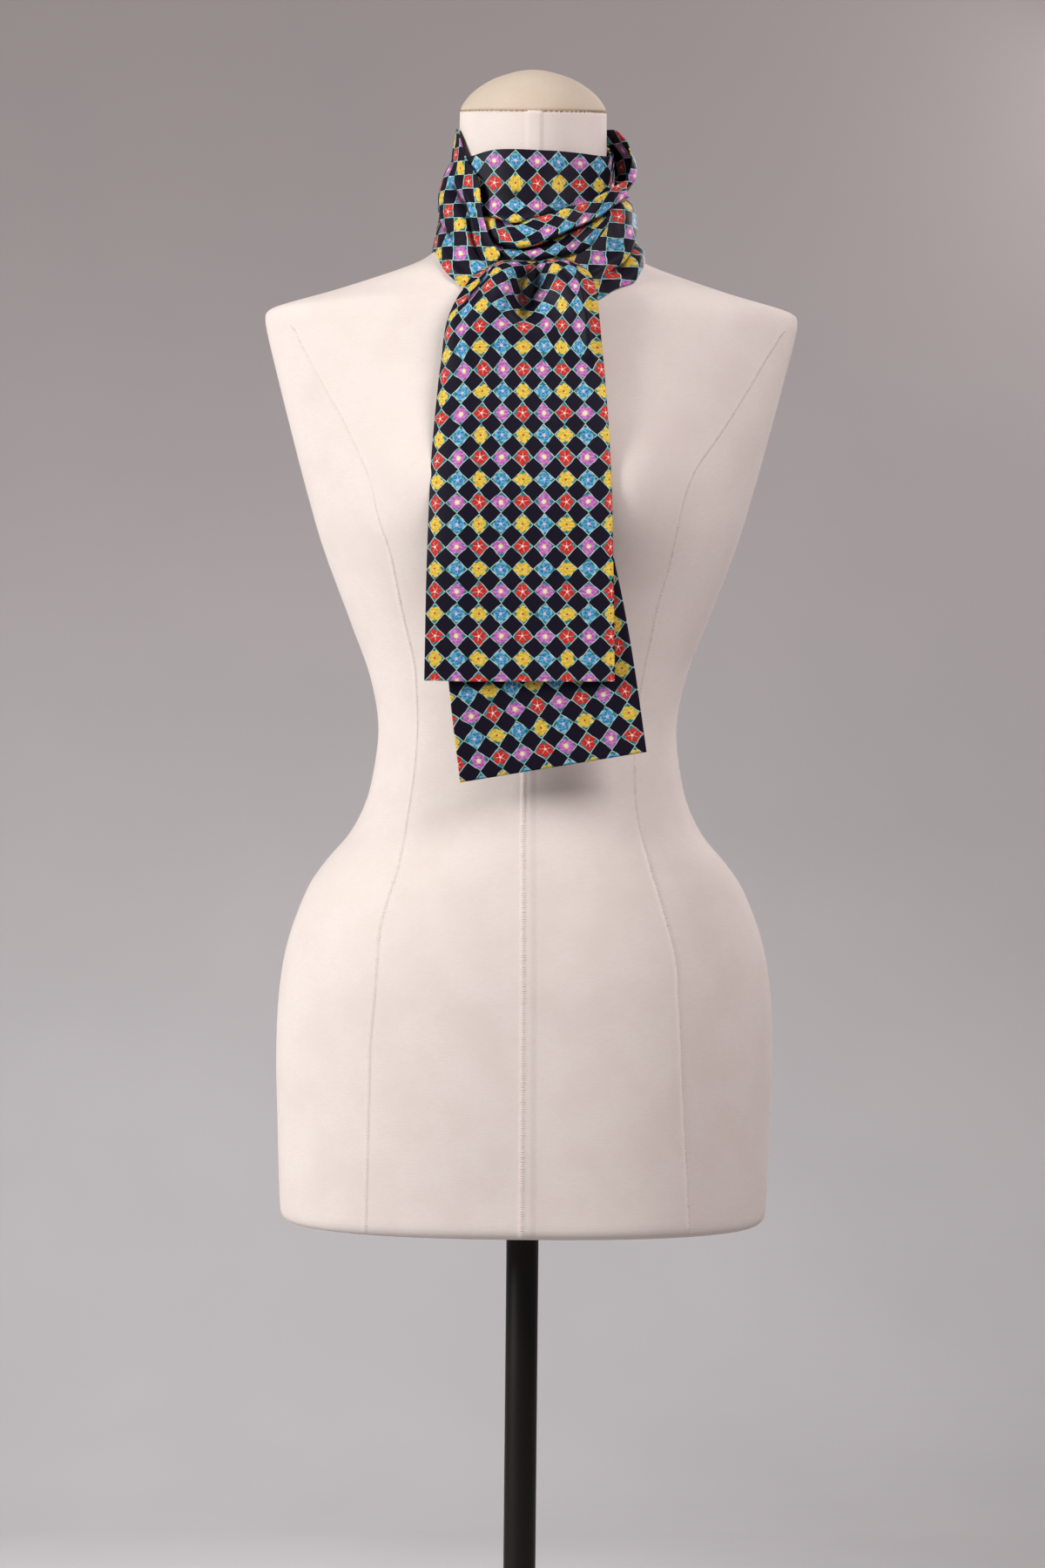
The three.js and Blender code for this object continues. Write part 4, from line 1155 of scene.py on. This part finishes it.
def with_hidden_ends(turns, lines, prints, share):
    """A net with the stations of its hidden ends added before and after its visible ones."""
    first, last = prints[0], prints[-1]
    first_turn, last_turn = turns[0], turns[-1]
    for turn, top, low, top_out, low_out in PANEL_ENDS:
        places = turned_to(np.full(len(share), float(turn)), top - (top - low) * share,
                           top_out + (low_out - top_out) * share)
        base, edge_turn = (first, first_turn) if turn < first_turn else (last, last_turn)
        run = math.radians(turn - edge_turn) * HIDDEN_REACH / PRINT_REPEAT
        at = int(np.searchsorted(turns, turn))
        turns = np.insert(turns, at, turn)
        lines = np.insert(lines, at, places, axis=0)
        prints = np.insert(prints, at, base + np.array([run, 0.0]), axis=0)
    return turns, lines, prints


def panel_nets():
    """The panel's places and print rows and columns, in two fine grids."""
    lines, prints = [], []
    for down, out, column, row in PANEL_LINES:
        places, right = laid_line(PANEL_TURNS, PANEL_RIGHTS, down, out)
        lines.append(places)
        prints.append(np.stack([picture_table(PANEL_RIGHTS, row)(right),
                                picture_table(PANEL_RIGHTS, column)(right)], -1))
    lines, prints = np.array(lines).swapaxes(0, 1), np.array(prints).swapaxes(0, 1)
    share = (PANEL_ACROSS - PANEL_ACROSS[0]) / (PANEL_ACROSS[-1] - PANEL_ACROSS[0])
    turns, lines, prints = with_hidden_ends(PANEL_TURNS, lines, prints, share)
    return net(lines, turns, PANEL_ACROSS, PANEL_GRID), net(prints, turns, PANEL_ACROSS, PANEL_GRID)


def printed_at(rows, columns):
    """Strip places in millimetres from print rows and columns."""
    return np.stack([rows * PRINT_REPEAT, (columns + 0.5) * PRINT_REPEAT], axis=-1)


points, prints = panel_nets()
points = keep_off_form(points, FORM_CLEARANCE + CLOTH_WALL)
cloth("silk_front_panel", points, printed_at(prints[..., 0], prints[..., 1]), "cravat_front_panel",
      200)

# %% [markdown]
# The stretches wound on the neck follow the same stations as the CAD cloth: at each turn round the neck,
# the heights of the upper and lower edges and how far each stands out. Their folds are long low waves,
# so a table of them is added to that smooth band, which keeps every fold easy to move or leave out.

# %% Wound stretches
# turn in degrees, heights of the upper and the lower edge, distances out of both, and how many degrees
# further the lower edge lies
INNER = [(84.3, 1434, 1384, 57.9, 65, 0), (110, 1443, 1378, 57.4, 64, 0), (140, 1447, 1368, 58, 66, 0),
         (170, 1442, 1358, 58.4, 69, 0), (192, 1418, 1352, 57.4, 73, 0), (204, 1389, 1351, 62, 75, 0),
         (214, 1387, 1351, 64, 75.4, 0)]
LEFT = [(-145.7, 1387, 1351, 64, 75.6, 0), (-126, 1413, 1354, 64, 76.5, 2), (-106, 1438, 1358, 58.8, 76, 2),
        (-88, 1450, 1361, 57.2, 74, 0), (-70, 1441, 1357.5, 58.4, 77, -2),
        (-54.5, 1423, 1353, 61, 80.5, -7.5), (-44, 1412, 1347, 63.5, 83.5, -11),
        (-36.5, 1401, 1340.5, 66.5, 87, -12.5), (-32.5, 1382, 1334.5, 69.5, 89.5, -11.5),
        (-26, 1363, 1328.4, 74, 90.4, -12.6), (-17, 1346, 1318, 78, 89.5, -13)]
NAPE = [(-236, 1458, 1361, 60.4, 79, 0), (-216, 1457, 1368, 60, 77, 0), (-192, 1458, 1377, 59.8, 73.6, 0),
        (-170, 1457, 1385, 59.6, 70, 0), (-148, 1454, 1391, 59.2, 62.6, 0), (-124, 1446, 1392, 57.6, 60.6, 0),
        (-103, 1436, 1392, 57.6, 59.8, 0)]
RIGHT = [(123.7, 1458, 1361, 60.4, 79, 0), (106, 1455, 1356, 63.5, 82, 0), (98, 1449.5, 1355, 66.5, 83, 0),
         (90, 1441, 1355, 70, 84.5, 0), (78, 1424, 1353, 73, 86.5, 1), (68, 1409, 1346.5, 73, 91, -2),
         (60, 1399, 1340, 73, 94.5, -2), (54, 1388, 1334, 72, 97, -1), (49, 1379, 1329, 70, 98, 0),
         (40, 1366, 1323.5, 70.5, 96.5, 0), (30, 1357, 1313.5, 72, 92.5, 0), (14, 1346, 1308, 73.4, 84, 0)]
# from turn, to turn, share across at each of them, rise, half width
LEFT_FOLDS = [(-142, -38, 0.52, 0.50, 5.0, 0.24), (-112, -58, 0.30, 0.24, -1.5, 0.05),
              (-70, -15, 0.36, 0.40, -3.4, 0.055), (-66, -15, 0.24, 0.26, 1.6, 0.07),
              (-128, -64, 0.66, 0.70, -2.2, 0.05), (-96, -30, 0.80, 0.72, -2.0, 0.045),
              (-58, -20, 0.88, 0.86, 1.4, 0.06)]
RIGHT_FOLDS = [(60, 128, 0.06, 0.26, 4.5, 0.12), (44, 106, -0.16, 0.72, -8.5, 0.085),
               (80, 130, 0.48, 0.50, -7, 0.07), (56, 128, 0.74, 0.80, -3.5, 0.22),
               (52, 104, 0.66, 0.62, 1.8, 0.06), (30, 96, 0.74, 0.84, -5.2, 0.05),
               (36, 118, 0.88, 0.93, 2.0, 0.07), (24, 60, 0.50, 0.60, 2.6, 0.09),
               (88, 128, 0.36, 0.40, -1.8, 0.04)]
NAPE_FOLDS = [(-234, -150, 0.28, 0.32, 3.2, 0.12), (-240, -164, 0.50, 0.46, -3.6, 0.06),
              (-230, -142, 0.70, 0.68, 3.0, 0.09), (-214, -176, 0.60, 0.57, 1.6, 0.04),
              (-238, -196, 0.84, 0.80, -2.6, 0.045), (-196, -134, 0.38, 0.44, -2.2, 0.045),
              (-208, -158, 0.16, 0.13, -1.6, 0.04), (-172, -126, 0.84, 0.76, -2.0, 0.05)]


def fold_rise(folds, at, across):
    """How far a table of folds stands out, at places along and across a stretch."""
    rise = np.zeros(np.broadcast(at, across).shape)
    for start, end, first, last, height, wide in folds:
        middle = first + (last - first) * (at - start) / (end - start)
        rise += height * bell((across - middle) / wide) * fade(at, start, end)
    return rise


def wound_points(stations, folds, counts):
    """A grid on a stretch wound on the neck, and the turn of each of its rows."""
    turns = [row[0] for row in stations]
    turn = np.linspace(min(turns), max(turns), counts[0])[:, None]
    share = np.linspace(0, 1, counts[1])[None, :]
    top, low, top_out, low_out, ahead = (line(stations, column)(turn) for column in range(1, 6))
    out = top_out + (low_out - top_out) * share ** 1.2 + fold_rise(folds, turn, share)
    points = turned_to(turn + ahead * share, top - (top - low) * share, out)
    return keep_off_form(points, FORM_CLEARANCE + CLOTH_WALL), turn


def strip_length(points):
    """The length along a stretch's middle, in millimetres."""
    return float(np.linalg.norm(np.diff(points[:, points.shape[1] // 2], axis=0), axis=1).sum())


print("folds laid on the wound stretches:", len(LEFT_FOLDS) + len(RIGHT_FOLDS) + len(NAPE_FOLDS))

# %% The print on the wound stretches
# small gathers take up some of the width, so the print moves on a little faster than the cloth drops
GATHER = 1.22
# places at which a slanting strip's run is summed up
MARKS = 600


def level_strip(points):
    """Strip places of a stretch that runs level: the length along its middle, and the drop from its top."""
    middle = points[:, points.shape[1] // 2]
    run = np.concatenate([[0], np.cumsum(np.linalg.norm(np.diff(middle, axis=0), axis=1))])
    drop = points[..., 2].max() - points[..., 2]
    return np.stack([run[:, None] + 0 * drop, drop * GATHER], axis=-1)


def slanted_strip(points, turn, pivot, heading, side, reach, lean, level_from, level_to):
    """Strip places of a stretch that comes level from behind and slants down to the front.

    pivot: turn, height, print row, print column; heading: the slant in degrees; side: 1 where the strip
    runs to the right as it comes down, -1 where it runs to the left; reach: its distance from the axis;
    lean: how far its checks drift forwards as they go down; level_from and level_to: the turns, either
    way, between which the slant sets in."""
    at = np.degrees(np.arctan2(points[..., 0], neck_axis(points[..., 2]) - points[..., 1]))
    turn = at + 360 * np.where(turn - at > 180, 1, np.where(turn - at < -180, -1, 0))
    marks = np.linspace(turn.min() - 1, turn.max() + 1, MARKS)
    slants = np.radians(heading) * smoothstep(np.abs(marks), level_from, level_to)
    step = side * reach * np.radians(marks[1] - marks[0])
    along = np.cumsum(np.cos(slants)) * step
    across = -np.cumsum(np.sin(slants)) * step
    along, across = (run - np.interp(pivot[0], marks, run) for run in (along, across))
    slant = np.interp(turn, marks, slants)
    drop = pivot[1] - points[..., 2]
    ahead = -lean * drop * slant / math.radians(heading)
    rows = np.interp(turn, marks, along) + drop * np.sin(slant) + ahead * np.cos(slant)
    columns = np.interp(turn, marks, across) + drop * np.cos(slant) - ahead * np.sin(slant)
    return printed_at(rows / PRINT_REPEAT + pivot[2], columns / PRINT_REPEAT + pivot[3])


LEFT_SLANT = {"pivot": (-57, 1383, 0, 2), "heading": 50, "side": 1, "reach": 76, "lean": 0.45,
              "level_from": 152, "level_to": 70}
RIGHT_SLANT = {"pivot": (56, 1380, 0, 2), "heading": 46, "side": -1, "reach": 82, "lean": 0.5,
               "level_from": 148, "level_to": 80}
for name, node, stations, folds, counts, slant in (
        ("silk_inner_turn", "cravat_inner_turn", INNER, [], (120, 50), None),
        ("silk_nape_wrap", "cravat_nape_wrap", NAPE, NAPE_FOLDS, (180, 130), None),
        ("silk_left_wrap", "cravat_left_wrap", LEFT, LEFT_FOLDS, (200, 140), LEFT_SLANT),
        ("silk_right_wrap", "cravat_right_wrap", RIGHT, RIGHT_FOLDS, (200, 140), RIGHT_SLANT)):
    points, turn = wound_points(stations, folds, counts)
    strip = slanted_strip(points, turn, **slant) if slant else level_strip(points)
    cloth(name, points, strip, node, strip_length(points))

# %% [markdown]
# The two ends hang over the breast, the front one over the back one. The front end is lofted through the
# rows of its print, like the panel through its lines: the picture gives the place of a flower in each
# row, and the depth comes from the dimple under the knot and from the rolled left edge. The back end is
# flat but for soft rolls, so a table of its edges is enough.

# %% Front end
FRONT_COLUMNS = np.array([-0.5, 0, 1, 2, 3, 4, 5, 6, 7, 8, 8.17])
# print row: picture row and its left edge, first and last flower and right edge, and the depth
FRONT_PLAIN_ROWS = [
    (0, 782.4, 487, 499, 702, 706, 131.5), (2, 730.5, 488, 499, 702, 705.6, 131.8),
    (4, 679, 489, 499.2, 701.6, 705, 131.6), (6, 627.5, 490.5, 499.4, 701, 704, 130.8),
    (8, 576, 492.5, 500, 700.4, 703, 128.6), (10, 524.8, 495, 502, 698.6, 701, 124),
    (12, 474, 499, 505.5, 695.6, 698, 116.2), (13, 449, 501.5, 507.5, 693.4, 696, 111),
    (14, 424, 504, 510, 690.6, 694, 106.4),
]
EDGE_ROLL = [(0, 0.6), (2, 1.2), (4, 2.6), (6, 4), (8, 5.2), (10, 6), (12, 6.4), (14, 6.4), (17, 6)]
EDGE_DROP = [(0, -1), (6, 0.5), (9, 3), (11, 6), (14, 8)]
# print row: places of its flowers in the picture, edge to edge, and the relief at each of them
FRONT_FOLDED_ROWS = [
    (15, [(507, 411), (512, 408), (530, 400.5), (551, 398), (576, 396.5), (601, 398), (625, 397), (645, 399),
          (665, 399), (686, 399), (691.5, 399.5)], 101.8, [-7, -3, 0.5, 1, 0.5, 0, 0, 0.6, 2.4, 2, -1]),
    (16, [(509.5, 387), (514, 383), (530, 378), (551, 374), (576, 371.5), (602, 375), (627.5, 372.5),
          (645, 373), (664.5, 374), (684, 374), (689.5, 375)], 99.2,
     [-8, -4, -0.5, 1.4, 1.6, 0.5, -1.5, 1, 3.6, 2.6, -1.5]),
    (17, [(514, 366), (519.5, 361), (534.5, 356.5), (553, 350.5), (577.5, 349.5), (601, 360.5), (625, 353.5),
          (645.5, 350), (663, 350), (681, 351), (687, 352)], 98,
     [-8, -5, -3, 0.6, 2.6, -6, -4.5, 0.4, 4, 2.4, -2]),
    (18, [(523, 345), (532, 345), (544, 337), (559.5, 328), (582, 330.5), (600, 345), (620.5, 339),
          (641, 327), (660.5, 328), (677, 328), (684, 330)], 96.6,
     [-8, -5, -9, -1.5, 3.6, -13.5, -9, 0.6, 3.8, 1, -4]),
    (19, [(533, 330), (545, 327), (556, 320), (568, 311), (586.5, 312), (600.5, 326), (620, 322),
          (636.5, 307), (657, 309), (671, 311), (678, 314)], 94,
     [-9, -6, -10, -3, 3, -17, -12, 3.6, 2.6, -1, -6]),
    (20, [(541, 318), (553, 313), (562, 308), (572, 302), (590, 302), (609, 307), (621, 305),
          (634, 299), (650, 300), (661, 302), (668, 305)], 90,
     [-10, -8, -10, -4, 0, -14, -12, 1.5, -0.5, -4, -8]),
    (21, [(549, 311), (560, 306), (568, 302), (578, 299), (594, 299), (611, 300), (621, 299.5),
          (632, 297), (645, 297), (655, 299), (660, 301)], 83,
     [-9, -8, -8, -5, -4, -9, -9, -4, -5, -7, -9]),
]
FRONT_GRID, FRONT_GAP = (330, 150), 4.5


def front_net():
    """The print rows of the front end and the places of its flowers in each."""
    rows, places = [], []
    roll, drop = line(EDGE_ROLL, 1), line(EDGE_DROP, 1)
    for row, down, left, first, last, right, depth in FRONT_PLAIN_ROWS:
        rights = np.concatenate([[left], np.linspace(first, last, 9), [right]])
        fall = drop(row) * bell(np.maximum(FRONT_COLUMNS, 0) / 0.9)
        relief = -roll(row) * bell((FRONT_COLUMNS + 0.5) / 0.75) - 0.8 * bell((FRONT_COLUMNS - 8.2) / 0.5)
        places.append(seen(rights, down + fall, depth + relief))
        rows.append(row)
    for row, at, depth, relief in FRONT_FOLDED_ROWS:
        at = np.array(at, float)
        places.append(seen(at[:, 0], at[:, 1], depth + np.array(relief)))
        rows.append(row)
    return np.array(rows, float), np.array(places)


front_rows, front_places = front_net()
points = keep_off_form(net(front_places, front_rows, FRONT_COLUMNS, FRONT_GRID), FRONT_GAP)
rows_at = np.linspace(front_rows[0], front_rows[-1], FRONT_GRID[0])[:, None]
columns_at = np.linspace(FRONT_COLUMNS[0], FRONT_COLUMNS[-1], FRONT_GRID[1])[None, :]
front_length = (front_rows[-1] - front_rows[0]) * PRINT_REPEAT
cloth("silk_front_tail", points, printed_at(rows_at + 0 * columns_at, columns_at + 0 * rows_at),
      "cravat_front_tail", front_length)

# %% Back end
# height, left, right, depth at the left, depth at the right
BACK_TAIL = [(1318, -30, 26, 80, 82), (1300, -42, 31, 85, 89), (1275, -52, 36, 91, 96),
             (1242, -57, 40, 100, 106), (1211, -58.5, 45, 109, 115), (1148, -59, 54.5, 121, 125),
             (1084, -58.5, 67.3, 126, 126), (1038, -55.5, 75.1, 125, 125), (976, -47.4, 84.2, 118, 119)]
# from height, to height, share across at each of them, rise, half width
BACK_TAIL_FOLDS = [(1330, 1160, 0.35, 0.3, -1.6, 0.1), (1330, 1120, 0.66, 0.7, -1.6, 0.1)]
# the hem rises to the right by this much to each side of its middle, from this height down
BACK_HEM_RISE, BACK_HEM_FROM = 11.4, 1148.0
BACK_LEAN = math.radians(10)
BACK_GRID, BACK_GAP = (200, 100), 2.2
CORNER_ROW = 1.15


def hanging_points():
    heights = [row[0] for row in BACK_TAIL]
    level = np.linspace(max(heights), min(heights), BACK_GRID[0])[:, None]
    share = np.linspace(0, 1, BACK_GRID[1])[None, :]
    left, right, deep_left, deep_right = (line(BACK_TAIL, column)(level) for column in range(1, 5))
    x = left + (right - left) * share
    y = -(deep_left + (deep_right - deep_left) * share) - fold_rise(BACK_TAIL_FOLDS, level, share)
    tilt = BACK_HEM_RISE * np.clip((BACK_HEM_FROM - level) / (BACK_HEM_FROM - min(heights)), 0, 1)
    return np.stack([x, y, level + tilt * (2 * share - 1)], axis=-1)


def leaning_strip(points):
    """Strip places of a flat end that leans: the first print column lies at its lower right corner."""
    corner = points[-1, -1]
    right, down = points[..., 0] - corner[0], corner[2] - points[..., 2]
    along = right * math.sin(BACK_LEAN) + down * math.cos(BACK_LEAN)
    across = -right * math.cos(BACK_LEAN) + down * math.sin(BACK_LEAN)
    return printed_at(CORNER_ROW - along / PRINT_REPEAT, across / PRINT_REPEAT - 0.5)


points = keep_off_form(hanging_points(), BACK_GAP)
cloth("silk_back_tail", points, leaning_strip(points), "cravat_back_tail", strip_length(points))

# %% [markdown]
# A plain studio: a pale grey sweep for floor and backdrop, one large soft light from the upper left in
# front, a weak fill from the right, a glow low on the backdrop and a light for the form's back. A sky
# picture would light the form too, but with lamps each shadow can be placed as in the photograph. Seen
# from behind the paper is clear, so that the form's back can be looked at too.

# %% Backdrop
# how far the paper runs forward, to where its curve starts, the curve's radius, its height and half width
SWEEP = {"front": -3.2, "curve_at": 1.6, "radius": 0.9, "height": 4.2, "half": 4.5}


def sweep():
    """A floor that curves up into a backdrop."""
    profile = [(SWEEP["front"], 0.0), (SWEEP["curve_at"], 0.0)]
    for turn in np.linspace(0, math.pi / 2, 16):
        profile.append((SWEEP["curve_at"] + SWEEP["radius"] * math.sin(turn),
                        SWEEP["radius"] - SWEEP["radius"] * math.cos(turn)))
    profile.append((SWEEP["curve_at"] + SWEEP["radius"], SWEEP["height"]))
    rows = np.array([[(x, y, z) for x in (-SWEEP["half"], SWEEP["half"])] for y, z in profile]) / MM
    return make_object("studio_sweep", rows.reshape(-1, 3), grid_faces(len(rows), 2))


def studio_paper(name):
    finish = Finish(name)
    spot = finish.spot()
    height = finish.axes(spot)[2]
    # painted light: the paper is lighter low down and darker high up, as the studio light falls off over the
    # backdrop
    paper = finish.mix(height.between(0.1, 2.1), rgb(186, 183, 185), rgb(168, 160, 160))
    paper = finish.mix(finish.noise(spot, 3.0).between(0.3, 0.7) * 0.12, paper, rgb(150, 148, 150))
    finish.set(Base_Color=paper, Roughness=0.9)
    behind = finish.node("ShaderNodeNewGeometry", None, None, "Backfacing")
    clear = finish.node("ShaderNodeBsdfTransparent")
    both = finish.node("ShaderNodeMixShader", None, {0: behind, 1: finish.surface.outputs[0], 2: clear})
    connect(finish.tree, both, finish.tree.nodes["Material Output"].inputs[0])
    return finish.material


backdrop = sweep()
backdrop.data.materials.append(studio_paper("studio_paper"))
print("backdrop faces:", len(backdrop.data.polygons))

# %% Lights
# place, aim, width in metres, power in watts and colour
LIGHTS = {
    "key": ((-3.0, -1.5, 2.0), (0, 0, 1.0), 1.4, 109, (1.0, 0.985, 0.975)),
    "fill": ((1.25, -1.3, 2.5), (0.15, 0, 1.35), 1.3, 32, (1.0, 0.92, 0.93)),
    "backdrop_glow": ((-0.5, 1.1, 0.15), (-0.4, 2.4, 0.2), 1.6, 11, (1, 1, 1)),
    "back_fill": ((1.4, 2.1, 2.3), (0, 0, 1.1), 1.2, 24, (1.0, 0.97, 0.96)),
}
AIR_COLOUR, AIR_STRENGTH = (0.90, 0.87, 0.87, 1), 0.13
for name, (at, towards, size, power, colour) in LIGHTS.items():
    data = bpy.data.lights.new(name, "AREA")
    data.shape, data.size, data.energy, data.color = "DISK", size, power, colour
    lamp = bpy.data.objects.new(name, data)
    lamp.location = at
    lamp.rotation_euler = (Vector(towards) - Vector(at)).to_track_quat("-Z", "Y").to_euler()
    bpy.context.scene.collection.objects.link(lamp)
world = bpy.data.worlds.new("studio_air")
bpy.context.scene.world = world
world.use_nodes = True
world.node_tree.nodes["Background"].inputs["Color"].default_value = AIR_COLOUR
world.node_tree.nodes["Background"].inputs["Strength"].default_value = AIR_STRENGTH
print("lights:", list(LIGHTS))
